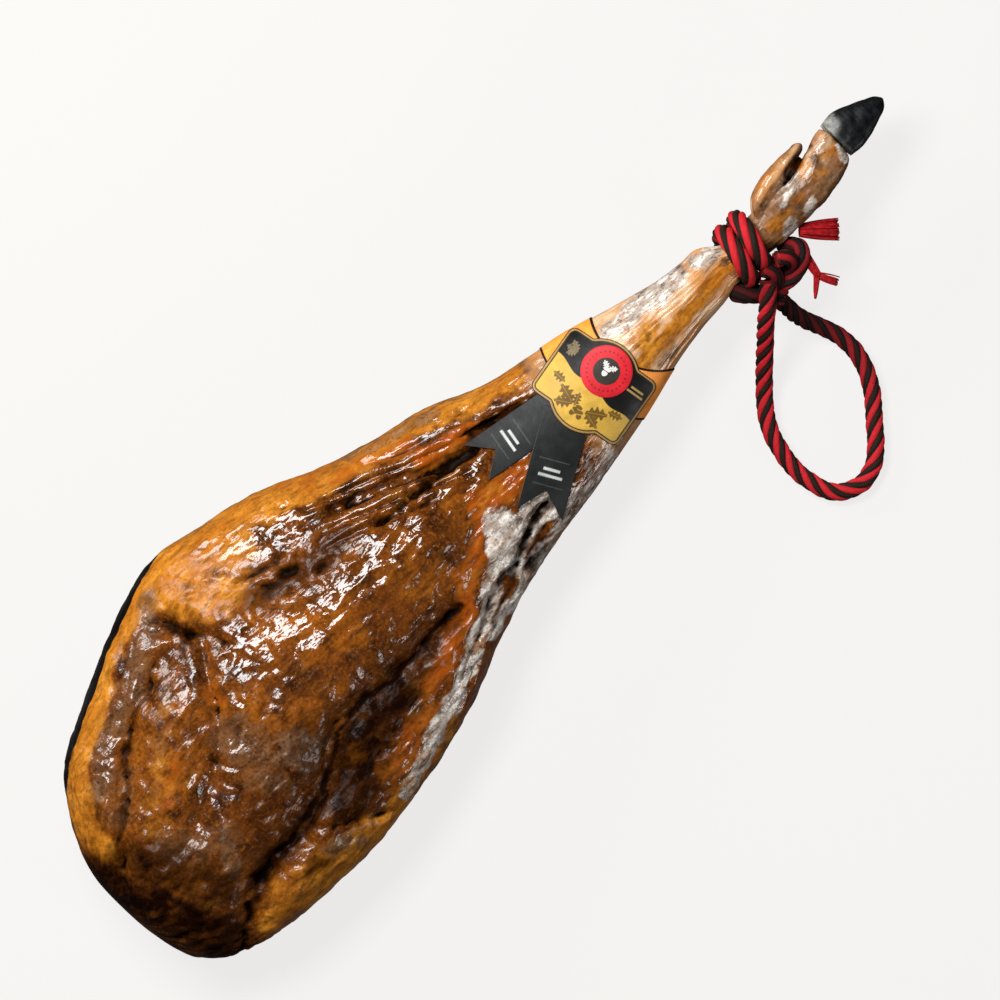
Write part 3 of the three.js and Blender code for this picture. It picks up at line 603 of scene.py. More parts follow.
def closed_tube(rings, tips=None):
    """Points and faces of a tube that is closed round, with a fan of triangles to a tip at each end."""
    rows, columns = rings.shape[:2]
    tips = rings[[0, -1]].mean(axis=1) if tips is None else tips
    points = np.vstack([rings.reshape(-1, 3), tips])
    here = np.arange(rows * columns).reshape(rows, columns)
    beside = np.roll(here, -1, axis=1)
    quads = np.stack([here[:-1], beside[:-1], beside[1:], here[1:]], -1).reshape(-1, 4)
    tip = np.full(columns, rows * columns)
    first = np.stack([beside[0], here[0], tip], -1)
    last = np.stack([here[-1], beside[-1], tip + 1], -1)
    return points, outward(points, quads, first, last)


def joined(bodies):
    """Points and faces of several bodies in one."""
    firsts = np.cumsum([0] + [len(points) for points, _ in bodies])
    faces = [[first + corner for corner in face] for first, (_, sides) in zip(firsts, bodies)
             for face in sides]
    return np.vstack([points for points, _ in bodies]), faces


def linear(hex_colour):
    """sRGB hex to the linear colour with alpha that a shader's socket takes."""
    parts = [int(hex_colour[k:k + 2], 16) / 255 for k in (1, 3, 5)]
    return tuple(p / 12.92 if p <= 0.04045 else ((p + 0.055) / 1.055) ** 2.4 for p in parts) + (1,)


def add(tree, kind, inputs=None, out=None, **settings):
    """Adds a node, sets it up, links or fills its inputs and gives back one of its outputs."""
    node = tree.nodes.new("ShaderNode" + kind)
    for key, value in settings.items():
        setattr(node, key, value)
    for key, value in (inputs or {}).items():
        found = [s for s in node.inputs if s.name == key and s.enabled]
        socket = node.inputs[key] if isinstance(key, int) else found[0]
        if isinstance(value, bpy.types.NodeSocket):
            tree.links.new(value, socket)
        else:
            socket.default_value = value
    shown = [s for s in node.outputs if s.enabled]
    return next((s for s in shown if s.name == out), shown[0]) if shown else None


def ranged(tree, value, low=0.0, high=1.0, start=0.0, end=1.0):
    """A value between low and high, taken to start and end."""
    return add(tree, "MapRange", {"Value": value, "From Min": low, "From Max": high,
                                  "To Min": start, "To Max": end})


def mixed(tree, factor, first, second):
    """The first colour where a factor is 0 and the second where it is 1, each a hex or a node's output."""
    a, b = [linear(colour) if isinstance(colour, str) else colour for colour in (first, second)]
    return add(tree, "Mix", {"Factor": factor, "A": a, "B": b}, data_type="RGBA")


def worked_out(tree, operation, *values, **settings):
    """A sum, difference or product of values."""
    return add(tree, "Math", dict(enumerate(values)), operation=operation, **settings)


def cloudy(tree, size, detail, rough=0.5, place=None):
    """Noise with lumps of a size in millimetres, in the object's own coordinates unless others are given."""
    place = add(tree, "TexCoord", out="Object") if place is None else place
    return add(tree, "TexNoise", {"Vector": place, "Scale": 1 / (size * MM), "Detail": detail,
                                  "Roughness": rough})


def share_of(tree, name):
    """A share that was painted on the vertices."""
    return add(tree, "Attribute", out="Fac", attribute_name=name)


def bumped(tree, height, strength, depth, **below):
    """A normal that a height of some depth in millimetres tilts."""
    return add(tree, "Bump", {"Height": height, "Strength": strength, "Distance": depth * MM, **below})


def new_material(name):
    """An empty node material and its tree."""
    material = bpy.data.materials.new(name)
    material.use_nodes = True
    material.node_tree.nodes.clear()
    return material, material.node_tree


def finished(material, inputs):
    """Ends a material's tree in a principled shader with these inputs."""
    shader = add(material.node_tree, "BsdfPrincipled", inputs)
    add(material.node_tree, "OutputMaterial", {"Surface": shader})
    return material


def in_scene(name, data):
    """A new object at the origin, in the scene's own collection."""
    obj = bpy.data.objects.new(name, data)
    bpy.context.scene.collection.objects.link(obj)
    return obj


def new_mesh(name, body):
    """A mesh in metres of a body's points and faces."""
    mesh = bpy.data.meshes.new(name)
    mesh.from_pydata(body[0] * MM, [], body[1])
    return mesh


def piece(name, mesh, material, slot, *nodes):
    """A smooth piece that rides on the body and stands for its CAD nodes; its slot is not used."""
    mesh.polygons.foreach_set("use_smooth", np.ones(len(mesh.polygons), bool))
    mesh.materials.clear()
    mesh.materials.append(material)
    obj = in_scene(name, mesh)
    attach(obj, BODY)
    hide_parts(*nodes)
    return obj


def store(obj, name, kind, field, values):
    """Stores an attribute with one value a vertex, which the material reads."""
    attribute = obj.data.attributes.new(name, kind, "POINT")
    attribute.data.foreach_set(field, np.asarray(values, np.float32).ravel())


def paint(obj, **shares):
    """Stores shares of finishes, one number a vertex each."""
    for name, share in shares.items():
        store(obj, name, "FLOAT", "value", share)


def leg_rings():
    """The leg's surface: rows from the butt to the rope, columns round it, closer where they are seen."""
    fine = FINE_STATIONS[FINE_STATIONS[:, 0] <= LEG_END]
    from_butt, y_low, y_high, z_low, z_high = fine.T
    profile = np.stack([from_butt, (y_high - y_low) / 2, (z_high - z_low) / 4], -1)
    place = spaced(profile, np.where(from_butt < FINE_UNTIL, 1, SHANK_DENSITY), LEG_ROWS + 1)[1:]
    rows = np.interp(place, np.linspace(0, 1, len(fine)), from_butt)
    sweep = np.linspace(0, 2 * math.pi, 2001)
    widest = np.stack(leg_section(np.full(sweep.shape, WIDEST), sweep), -1)
    density = np.where(np.sin(sweep) > UNDER_BEGINS, 1, UNDER_DENSITY)
    columns = 2 * math.pi * spaced(widest, density, LEG_COLUMNS + 1)[:-1]
    b, angle = np.meshgrid(rows, columns, indexing="ij")
    y, z = leg_section(b, angle)
    return b, angle, np.stack([b - LEG_LENGTH / 2, y, z], -1)


def pleats(x, y):
    """The long folds' bell and their height: |sine| across them, so round crests and sharp creases."""
    p, q = turned(x, y, PLEAT_MIDDLE, PLEAT_TURN)
    window = np.exp(-(p / PLEAT_REACH[0]) ** 4 - (q / PLEAT_REACH[1]) ** 4)
    sway = 7 * noise(12, p / 60, q / 40) + 2 * noise(13, p / 22, q / 14)
    fold = np.abs(np.sin((q + sway) * math.pi / PLEAT_SPACING)) ** 0.8
    fullness = 0.5 + 1.2 * np.clip(noise(14, p / 45, q / 16) + 0.35, 0, 1)
    return window, window * fullness * (PLEAT_HEIGHT * fold - PLEAT_SINK)


def fine_relief(b, angle, x, y, skin, fat, oil):
    """Depth of the wrinkles: drawn folds, then noise stretched along the fibres, which run with the leg."""
    height = np.zeros(x.shape)
    warped = wandering(x, y, *FOLD_SWAY)
    broken = 0.5 + 1.1 * np.clip(noise(25, x / 11, y / 11) + 0.4, 0, 1)
    for depth, width, points in FINE_FOLDS:
        height += depth * broken * np.exp(-(distance_to(points, *warped) / width) ** 1.5)
    pleated, folds = pleats(x, y)
    flat = 1 - 0.5 * pleated
    meat = (1 - 0.6 * np.maximum(skin, fat)) * flat
    rugged = (1 - 0.5 * oil) * flat
    zones = {"all": 1, "meat": meat, "rugged": rugged, "skin": skin, "butt": 1 - smoothstep(*ROUGH_BUTT, b)}
    across = angle * MEAN_RADIUS + 6 * noise(11, b / 46, angle * 3.1)
    for zone, *row in WRINKLES:
        height += zones[zone] * wrinkle(b, across, *row)
    return height + folds - 1.1 * rugged * meat * crest(noise(40, b / 18, across / 8)) ** 2


def dark_rim(from_butt, y, angle):
    """Share of the dark edge: a few millimetres wide on top by the outline, wide and ragged below it."""
    set_in, full, thins, ends = RIM_REACH
    below = smoothstep(0, -0.3, np.sin(angle))
    sway = 30 * noise(42, from_butt / 22, angle * 5) + 9 * noise(43, from_butt / 6, angle * 18)
    place = from_butt + below * sway
    width = RIM_WIDTH * smoothstep(set_in, full, place) * (1 - smoothstep(thins, ends, place))
    ragged = 1 + 0.5 * noise(44, from_butt / 14, angle * 9) + 0.3 * noise(45, from_butt / 5, angle * 22)
    width *= 1 + 7 * below * ragged
    inside = leg_station(from_butt)[1] - y
    blur = 0.6 + 5 * below
    return smoothstep(width + blur, width - blur, inside) * smoothstep(0.7, 0.8 + 4 * below, width)


def make_leg(material):
    """Thigh and shank: the CAD's sections and relief with fine folds pushed along the normals."""
    b, angle, rings = leg_rings()
    rise = np.sin(angle)
    x = rings[..., 0]
    y = rings[..., 1]
    rings[..., 2] += smoothstep(0, RELIEF_RISE, rise) * main_relief(x, y)
    shown = smoothstep(*SHOWN_RISE, rise)
    swayed = wandering(x, y, *FINISH_SWAY)
    shares = {name: shown * strokes(rows, *swayed) for name, rows in MEAT_STROKES.items()}
    shares["fat"] = np.maximum(shares["fat"], UNDER_FAT * (1 - shown))
    shares["rim"] = dark_rim(b, y, angle)
    shares["shank"] = smoothstep(*SHANK_TURNS_PALE, b)
    height = fine_relief(b, angle, x, y, shares["skin"], shares["fat"], shares["oil"])
    # Painted shade in the hollows of the wrinkles.
    shares["hollow"] = shown * smoothstep(*HOLLOW_SHADE_DEPTH, height) * (1 - smoothstep(*HOLLOW_SHADE_END, x))
    height *= 1 - 0.7 * smoothstep(*SHANK_FLATTENS, x)
    starts, covers, bares, ends = LABEL_EDGES
    under_label = smoothstep(starts, covers, x) * (1 - smoothstep(bares, ends, x)) * shown
    height = np.where(under_label > 0.5, np.minimum(height, UNDER_PAPER), height)
    height *= smoothstep(*BUTT_EDGE, b) * (0.3 + 0.7 * smoothstep(*SIDE_RISE, rise))
    rings += surface_normals(rings) * height[..., None]
    rings[..., 2] = np.maximum(rings[..., 2], 0)
    obj = piece("leg", new_mesh("leg", closed_tube(rings)), material, "cured_meat", "ham")
    paint(obj, **{name: np.append(share.ravel(), share[[0, -1], 0]) for name, share in shares.items()})


def cured_meat():
    """Air-dried meat, fat and skin rubbed with oil: uneven browns and painted shade under a gloss that
    wrinkles break.
    """
    material, tree = new_material("air_dried_meat")
    place = add(tree, "TexCoord", out="Object")
    along = add(tree, "Mapping", {"Vector": place, "Scale": (0.4, 1, 1)})
    clouds = {name: cloudy(tree, size, detail, rough, along if fibrous else place)
              for name, fibrous, size, detail, rough in MEAT_CLOUDS}
    share = {name: share_of(tree, name) for name in (*MEAT_STROKES, "rim", "shank", "hollow")}

    def tinted(ground, rows):
        """A ground colour under one cloud of another colour after the other."""
        colour = linear(ground)
        for cloud, low, high, strength, shade in rows:
            colour = mixed(tree, ranged(tree, clouds[cloud], low, high, 0, strength), colour, shade)
        return colour

    colour = tinted(*MEAT_TINTS["lean"])
    for name, cloud, ragged, low, high in MEAT_LAYERS:
        edge = ranged(tree, clouds[cloud], 0.3, 0.7, -ragged, ragged)
        factor = ranged(tree, worked_out(tree, "ADD", share[name], edge), low, high)
        colour = mixed(tree, factor, colour, tinted(*MEAT_TINTS[name]))
    greasy = worked_out(tree, "ADD", share["oil"], ranged(tree, clouds["mottle"], 0.35, 0.65, -0.3, 0.3))
    dull = worked_out(tree, "MULTIPLY_ADD", share["dark_and_shade"], 0.6, share["hollow"])
    matt_fat = worked_out(tree, "SUBTRACT", share["fat"], share["oil"], use_clamp=True)
    dull = worked_out(tree, "MULTIPLY_ADD", matt_fat, 0.5, dull)
    rough = worked_out(tree, "MULTIPLY_ADD", dull, 0.2, ranged(tree, greasy, -0.1, 0.8, 0.22, 0.12))
    calm = worked_out(tree, "MULTIPLY_ADD", share["fat"], 0.6, share["shank"])
    calm = worked_out(tree, "MULTIPLY_ADD", share["oil"], 0.4, calm)
    smooth = ranged(tree, calm, 0, 1, 0.55, 0.16)
    pores = bumped(tree, clouds["pore"], smooth, 0.45)
    return finished(material, {
        "Base Color": colour, "Roughness": rough, "IOR": 1.46,
        "Specular IOR Level": ranged(tree, dull, 0, 0.6, 0.5, 0.03),
        "Normal": bumped(tree, clouds["dimple"], smooth, 1.6, Normal=pores)})


def foot_mesh():
    """Pastern, web, toes and dewclaws as limbs, fused by a voxel remesh and smoothed."""
    limbs = [limb(PASTERN, SHANK_SQUARENESS, 96, 90, 0.6), limb(WEB_STATIONS, FOOT_SQUARENESS, 48, 40, 0.9)]
    for rows in (TOE_STATIONS, DEWCLAW_STATIONS):
        upper = limb(rows, FOOT_SQUARENESS, 72, 60, 0.9)
        limbs += [upper, mirrored_in_cleft(upper)]
    holder = in_scene("foot_raw", new_mesh("foot_raw", joined([closed_tube(rings) for rings in limbs])))
    remesh = holder.modifiers.new("fuse", "REMESH")
    remesh.mode = "VOXEL"
    remesh.voxel_size = FOOT_VOXEL * MM
    blend = holder.modifiers.new("blend", "SMOOTH")
    blend.factor = 0.5
    blend.iterations = 6
    fused = bpy.data.meshes.new_from_object(holder.evaluated_get(bpy.context.evaluated_depsgraph_get()))
    bpy.data.objects.remove(holder)
    return fused


def make_foot(material):
    """The fused foot with wrinkles pushed along its normals, under the shank's finishes, painted shade and
    painted highlights.
    """
    fused = foot_mesh()
    count = len(fused.vertices)
    places = np.zeros(count * 3)
    normals = np.zeros(count * 3)
    fused.vertices.foreach_get("co", places)
    fused.vertices.foreach_get("normal", normals)
    places = places.reshape(-1, 3) / MM
    x, y, z = places.T
    wrap = np.arctan2(z - CLEFT_Z, y - FOOT_MIDDLE) * FOOT_RADIUS
    height = sum(wrinkle(x, wrap, *row) for row in FOOT_WRINKLES)
    places += normals.reshape(-1, 3) * (height * smoothstep(*FOOT_BARE, x))[:, None]
    fused.vertices.foreach_set("co", (places * MM).ravel())
    obj = piece("foot", fused, material, "cured_meat", "ham")
    swayed = wandering(x, y, *FOOT_SWAY)
    shares = {name: strokes(rows, *swayed) for name, rows in FOOT_STROKES.items()}
    shares["shank"] = np.maximum(shares["shank"], 0.4)
    shares["oil"] -= FOOT_DRYNESS
    paint(obj, **shares, rim=np.zeros(count), hollow=np.zeros(count))


def limb(rows, power, columns, steps, cap):
    """A closed limb: superellipse sections of a table, drawn in over the first and last rows by cap."""
    s = np.linspace(0, 1, steps + 1)
    table = catmull(rows, s)
    angle = np.linspace(0, 2 * math.pi, columns, endpoint=False)
    edge = np.minimum(1, np.minimum(s, 1 - s) * steps / (cap * 6) + 0.02)
    size = np.sqrt(1 - (1 - edge) ** 2)[:, None]
    y, z = section([table[:, k:k + 1] for k in range(1, 5)], angle, power, size)
    return np.stack([np.broadcast_to(table[:, :1] - LEG_LENGTH / 2, y.shape), y, z], -1)


def mirrored_in_cleft(rings):
    """The same rings on the other side of the cleft's plane."""
    return rings * (1, 1, -1) + (0, 0, 2 * CLEFT_Z)


def make_hoof(name, node, material, lower):
    """One hoof: the toe's horn, ringed by growth, of which the lower one is the mirror image."""
    rings = limb(HOOF_STATIONS, FOOT_SQUARENESS, 96, 90, 0.35)
    x, y, z = np.moveaxis(rings, -1, 0)
    growth = 0.02 * np.sin(x * 2 * math.pi / 3.4 + 2.5 * noise(61, x / 9, z / 8))
    growth += 0.9 * noise(62, x / 14, (y + z) / 9) + 0.2 * noise(63, x / 6, (y + z) / 5)
    rings = rings + surface_normals(rings) * (growth * smoothstep(*HORN_BEGINS, x))[..., None]
    body = closed_tube(mirrored_in_cleft(rings) if lower else rings)
    obj = piece(name, new_mesh(name, body), material, "hoof_horn", node)
    x, y, _ = body[0].T
    worn = smoothstep(17, 8, np.hypot(x - WORN_CORNER[0], y - WORN_CORNER[1]))
    paint(obj, worn=worn + 0.15 * smoothstep(4, 1, x - PALE_LINE))


def smooth_path(points, step):
    """Centripetal Catmull-Rom through a route's points, shared into even steps of about that length."""
    p = np.asarray(points, float)
    p = np.vstack([2 * p[0] - p[1], p, 2 * p[-1] - p[-2]])
    gap = np.linalg.norm(np.diff(p, axis=0), axis=1)[:, None] ** 0.5
    before, here, after, beyond = p[:-3], p[1:-2], p[2:-1], p[3:]
    gap_before, gap_here, gap_after = gap[:-2], gap[1:-1], gap[2:]
    ahead = (after - here) / gap_here
    leave = (here - before) / gap_before - (after - before) / (gap_before + gap_here) + ahead
    arrive = ahead - (beyond - here) / (gap_here + gap_after) + (beyond - after) / gap_after
    leave = (leave * gap_here)[:, None]
    arrive = (arrive * gap_here)[:, None]
    t = np.linspace(0, 1, 41)[:-1, None]
    here = here[:, None]
    after = after[:, None]
    curve = (here + leave * t + (3 * (after - here) - 2 * leave - arrive) * t ** 2
             + (2 * (here - after) + leave + arrive) * t ** 3)
    return even_path(np.vstack([curve.reshape(-1, 3), p[-2]]), step)


def lengths_along(path):
    """Length from the start of a path to each of its points."""
    return np.concatenate([[0], np.cumsum(np.linalg.norm(np.diff(path, axis=0), axis=1))])


def even_path(curve, step):
    """The same line with points an equal length apart."""
    length = lengths_along(curve)
    place = np.linspace(0, length[-1], int(round(length[-1] / step)) + 1)
    return np.stack([np.interp(place, length, curve[:, k]) for k in range(3)], -1)


def carried_frames(path):
    """Two directions across a path at each ring, carried along it without turning about it."""
    along = np.gradient(path, axis=0)
    along /= np.linalg.norm(along, axis=1, keepdims=True)
    side = np.cross(along[0], (0.3, 0.2, 0.93))
    sides = []
    for direction in along:
        side = side - direction * side.dot(direction)
        side = side / np.linalg.norm(side)
        sides.append(side)
    sides = np.array(sides)
    return sides, np.cross(along, sides)


def twisted_rope(name, path, radius, lay, material, node, start_turn=0.0, grime=0.0):
    """Six strands laid round a path: radius less a groove that deepens as 1 - sqrt(1 - q^2) to its edge."""
    column = (np.arange(ROPE_COLUMNS) + 0.5) * STRANDS / ROPE_COLUMNS
    pair = column / 2 % 1
    red = pair < RED_SHARE
    q = np.where(red, pair / RED_SHARE, (pair - RED_SHARE) / (1 - RED_SHARE)) * 2 - 1
    strand = np.floor(column / 2) + np.where(red, RED_SHARE / 2, (1 + RED_SHARE) / 2)
    half = np.where(red, RED_SHARE, 1 - RED_SHARE) / 2
    groove = GROOVE * (1 - np.sqrt(1 - 0.96 * q ** 2)) + np.where(red, 0, DARK_SINK)
    side, over = carried_frames(path)
    length = lengths_along(path)[:, None]
    angle = (strand + q * half) * 4 * math.pi / STRANDS + start_turn + 2 * math.pi * length / lay

    def each(value):
        """A value for every point of the rope's grid, of one for each ring or column."""
        return np.broadcast_to(value, angle.shape)

    yarn = YARN_BUMP * radius * noise(71, each(strand * 7 + q * 2), each(length / 5))
    across = np.cos(angle)[..., None] * side[:, None] + np.sin(angle)[..., None] * over[:, None]
    rings = path[:, None] + (radius * (1 - groove) + yarn)[..., None] * across
    body = closed_tube(rings, path[[0, -1]])
    obj = piece(name, new_mesh(name, body), material, "twisted_rope", node)
    width = q * half * 4 * math.pi * radius / STRANDS
    lines = np.stack([width + YARN_SLANT * length, each(length), each(strand * 9)], -1)
    store(obj, "yarn", "FLOAT_VECTOR", "vector", np.vstack([lines.reshape(-1, 3), lines[[0, -1], 0]]))
    # Painted shade: one share darkens the rope's shaded stretches, and the groove share darkens each strand
    # towards its edges.
    shade_share = each(np.reshape(grime, (-1, 1)))
    paint(obj, red=np.append(each(red), [0.5, 0.5]), groove=np.append(each(np.abs(q) ** 4), [0.5, 0.5]),
          grime=np.append(shade_share, shade_share[[0, -1], 0]))
    return obj


def make_loop(material):
    """The free loop, which hangs off the knot and lies on the floor."""
    path = smooth_path(LOOP_ROUTE, ROPE_STEP)
    left = np.arange(len(path))[::-1] * ROPE_STEP
    # Painted shade on the run that goes back up to the knot, and a little where the loop leaves the knot.
    grime = np.maximum(smoothstep(*SHADE_END, left), 0.5 * smoothstep(*SHADE_START, left[::-1]))
    loop = twisted_rope("rope_cord", path, ROPE_RADIUS, FREE_LAY, material, "rope_loop", grime=grime)


def make_turns(material):
    """Two turns round the shank: an elliptic coil with a start and an end drawn through listed points."""
    t = np.append(np.arange(0, 1, WRAP_STEP), 1)
    angle = 2 * math.pi * WRAP_TURNS * t
    coil = np.stack([WRAP_START + WRAP_PITCH * WRAP_TURNS * t + WRAP_LEAN * (1 - np.cos(angle)),
                     WRAP_CENTRE[0] - WRAP_REACH[0] * np.cos(angle),
                     WRAP_CENTRE[1] - WRAP_REACH[1] * np.sin(angle)], -1)
    path = smooth_path(np.vstack([WRAP_LEAD_IN, coil, WRAP_LEAD_OUT]), ROPE_STEP)
    away = np.arange(len(path)) * ROPE_STEP
    # Painted shade on the turns' lower side and on their ends by the knot.
    grime = np.maximum(smoothstep(*SHADE_BELOW, path[:, 2]),
                       smoothstep(*SHADE_LEADS, np.minimum(away, away[::-1])))
    twisted_rope("turns", path, WRAP_RADIUS, TIGHT_LAY, material, "rope_turns", grime=grime)


def make_knot(material):
    """The knot beside the turns: three strands drawn through listed points and a small hitch, coiled on its
    own axis.
    """
    for name, route, start_turn, (least, most), heights in KNOT_STRANDS:
        path = smooth_path(route, ROPE_STEP)
        # Painted shade over the knot's strands, darker lower down.
        grime = least + (most - least) * smoothstep(*heights, path[:, 2])
        twisted_rope(name, path, KNOT_ROPE_RADIUS, TIGHT_LAY, material, "rope_knot", start_turn, grime)
    axis, across = [np.array(v) / np.linalg.norm(v) for v in (HITCH_AXIS, np.cross(HITCH_AXIS, (0, 0, 1)))]
    upright = np.cross(across, axis)
    turn = np.linspace(0, 2 * math.pi * HITCH_TURNS, 200)[:, None]
    hitch = (np.array(COLLAR_CENTRE) + HITCH_REACH * (np.cos(turn) * across + np.sin(turn) * upright)
             + axis * (turn / (2 * math.pi) - HITCH_TURNS / 2) * HITCH_PITCH)
    # The hitch gets painted shade all over.
    twisted_rope("hitch", even_path(hitch, 0.6), HITCH_RADIUS, TIGHT_LAY, material, "rope_knot", grime=0.75)


def make_rope(material):
    """The cord's loop, its two turns round the shank and the knot beside them."""
    make_loop(material)
    make_turns(material)
    make_knot(material)


def tassel_matrix(turn):
    """Turn of a tassel's own axes in degrees, as in the CAD: about Z first, then Y, then X."""
    matrix = np.eye(3)
    for first, second, degrees in zip((1, 2, 0), (2, 0, 1), turn):
        c = math.cos(math.radians(degrees))
        s = math.sin(math.radians(degrees))
        step = np.eye(3)
        step[[first, first, second, second], [first, second, first, second]] = c, -s, s, c
        matrix = matrix @ step
    return matrix


def tassel_yarns(seed, count, length, root, tip, at, turn):
    """Many loose yarns: thin tapered tubes that fan from the root's ellipse to the tip's, as t^0.8."""
    draw = np.random.default_rng(seed)
    spin = draw.uniform(0, 2 * math.pi, count)
    reach = np.sqrt(draw.uniform(0, 1, count))
    size = length * draw.uniform(0.9, 1.0, count)
    t = np.linspace(0, 1, YARN_ROWS)[:, None]
    widen = t ** 0.8
    y = reach * np.cos(spin) * (root[0] + (tip[0] - root[0]) * widen) + 0.5 * np.sin(4 * t + spin) * t
    z = reach * np.sin(spin) * (root[1] + (tip[1] - root[1]) * widen) + 0.4 * np.cos(5 * t + 2 * spin) * t
    centre = np.stack([t * size, y, z], -1)
    ring = np.linspace(0, 2 * math.pi, YARN_SIDES, endpoint=False)
    radius = YARN_RADIUS * (1 - 0.45 * t)[..., None, None]
    circle = np.stack([0 * ring, np.cos(ring), np.sin(ring)], -1)
    yarns = np.moveaxis(centre[:, :, None] + radius * circle, 1, 0) @ tassel_matrix(turn).T + np.array(at)
    return joined([closed_tube(rings) for rings in yarns])


def make_tassels(material):
    """The two frayed rope ends; the lower one parts into two tufts."""
    for name, node, tufts in (("tassel_top", "tassel_upper", UPPER_TUFTS),
                              ("tassel_fork", "tassel_lower", LOWER_TUFTS)):
        body = joined([tassel_yarns(81 + number, *tuft) for number, tuft in enumerate(tufts)])
        piece(name, new_mesh(name, body), material, "frayed_rope", node)


def leg_top(x, y):
    """Height of the smooth leg over a plan point, z = mid + half * (1 - side^p)^(1/p)."""
    from_butt = x + LEG_LENGTH / 2
    y_low, y_high, z_low, z_high = leg_station(from_butt)
    power = leg_squareness(from_butt)
    side = np.minimum(np.abs((2 * y - y_low - y_high) / (y_high - y_low)), 0.999)
    return (z_low + z_high) / 2 + (z_high - z_low) / 2 * (1 - side ** power) ** (1 / power)


def pressed(x, y, lift):
    """A point of paper over a plan point, lifted off the leg square to its slope there."""
    step = 1
    slope_x = (leg_top(x + step, y) - leg_top(x - step, y)) / (2 * step)
    slope_y = (leg_top(x, y + step) - leg_top(x, y - step)) / (2 * step)
    return np.stack([x, y, leg_top(x, y) + lift * np.sqrt(1 + slope_x ** 2 + slope_y ** 2)], -1)


def plate_faces(rows, columns):
    """Faces of a closed plate whose points are a face grid followed by a back grid of the same size."""
    here = np.arange(rows * columns).reshape(rows, columns)
    front = np.stack([here[:-1, :-1], here[:-1, 1:], here[1:, 1:], here[1:, :-1]], -1).reshape(-1, 4)
    back = front[:, ::-1] + rows * columns
    edge = np.concatenate([here[0, :-1], here[:-1, -1], here[-1, :0:-1], here[:0:-1, 0]])
    onward = np.roll(edge, -1)
    rim = np.stack([onward, edge, edge + rows * columns, onward + rows * columns], -1)
    return np.vstack([front, back, rim])


def badge_outline(count):
    """Points round a square with rounded corners and a bow on its top and bottom edge, by ray casting."""
    angle = np.linspace(0, 2 * math.pi, count, endpoint=False)
    reach = np.linspace(0, 2 * BADGE_HALF_WIDTH, 4001)[:, None]
    u = np.abs(np.cos(angle)) * reach
    v = np.abs(np.sin(angle)) * reach
    inner_u = BADGE_HALF_WIDTH - BADGE_CORNER
    inner_v = BADGE_SHOULDER - BADGE_CORNER
    corner = np.hypot(np.maximum(u - inner_u, 0), np.maximum(v - inner_v, 0)) <= BADGE_CORNER
    half, rise = BADGE_ARC
    radius = (half * half + rise * rise) / (2 * rise)
    bow = (u < half) & (np.hypot(u, v - (BADGE_SHOULDER + rise - radius)) <= radius)
    last = (corner | bow).cumprod(axis=0).sum(axis=0) - 1
    size = reach[last, 0]
    return np.stack([size * np.cos(angle), size * np.sin(angle)], -1)


def disc_plate(name, outline, centre, rings, lift, material, slot, node):
    """A plate pressed on the leg: its outline drawn in ring by ring. Also gives badge axes of its points."""
    reach = np.concatenate([np.linspace(0.004, 1, rings), [1, 0.8, 0.5, 0.2, 0.004]])
    u = reach[:, None] * outline[:, 0]
    v = reach[:, None] * outline[:, 1]
    turn = math.radians(BADGE_TURN)
    x = centre[0] + u * math.cos(turn) - v * math.sin(turn)
    y = centre[1] + u * math.sin(turn) + v * math.cos(turn)
    lifts = np.where(np.arange(len(reach)) < rings, lift + PAPER, lift)[:, None] + 0 * u
    obj = piece(name, new_mesh(name, closed_tube(pressed(x, y, lifts))), material, slot, node)
    return obj, np.append(u.ravel(), [0, 0]), np.append(v.ravel(), [0, 0])


def ink(obj, ground, layers):
    """Stores the print as a colour attribute: a ground and layers of (share at each vertex, hex colour)."""
    colour = np.tile(linear(ground), (len(obj.data.vertices), 1))
    for share, shade in layers:
        share = np.asarray(share, float)[:, None]
        colour = colour * (1 - share) + np.array(linear(shade)) * share
    store(obj, "print", "FLOAT_COLOR", "color", colour)


def soft(distance, blur=0.22):
    """Share of ink where a signed distance in millimetres is below zero, with a soft edge."""
    return smoothstep(blur, -blur, distance)


def leaf(u, v, place, degrees, length):
    """Oak leaf of half width 0.24 L sin(pi t)^0.7 (1 + 0.4 cos(8 pi t)), less a vein along its middle."""
    p, q = turned(u, v, place, degrees)
    t = np.clip(p / length, 0, 1)
    half = 0.24 * length * np.sin(math.pi * t) ** 0.7 * (1 + 0.4 * np.cos(8 * math.pi * t))
    blade = soft(np.abs(q) - half) * ((t > 0) & (t < 1))
    return blade * (1 - 0.8 * soft(np.abs(q) - 0.12, 0.15))


def acorn(u, v, place, degrees, size):
    """An acorn: an ellipse for the nut and a flatter, wider one for its cup."""
    p, q = turned(u, v, place, degrees)
    nut = soft(np.hypot((p - 0.9 * size) / 1.2, q) - 0.62 * size)
    cup = soft(np.hypot(p / 0.55, q) - 0.85 * size)
    gap = soft(np.abs(p - 0.48 * size) - 0.08 * size)
    return np.maximum(nut, cup) * (1 - gap)


def bar(u, v, place, degrees, half_length, half_height):
    """A plain bar."""
    p, q = turned(u, v, place, degrees)
    return soft(np.maximum(np.abs(p) - half_length, np.abs(q) - half_height))


def sprigs(u, v, rows):
    """Leaves over each other."""
    return np.max([leaf(u, v, *row) for row in rows], axis=0)


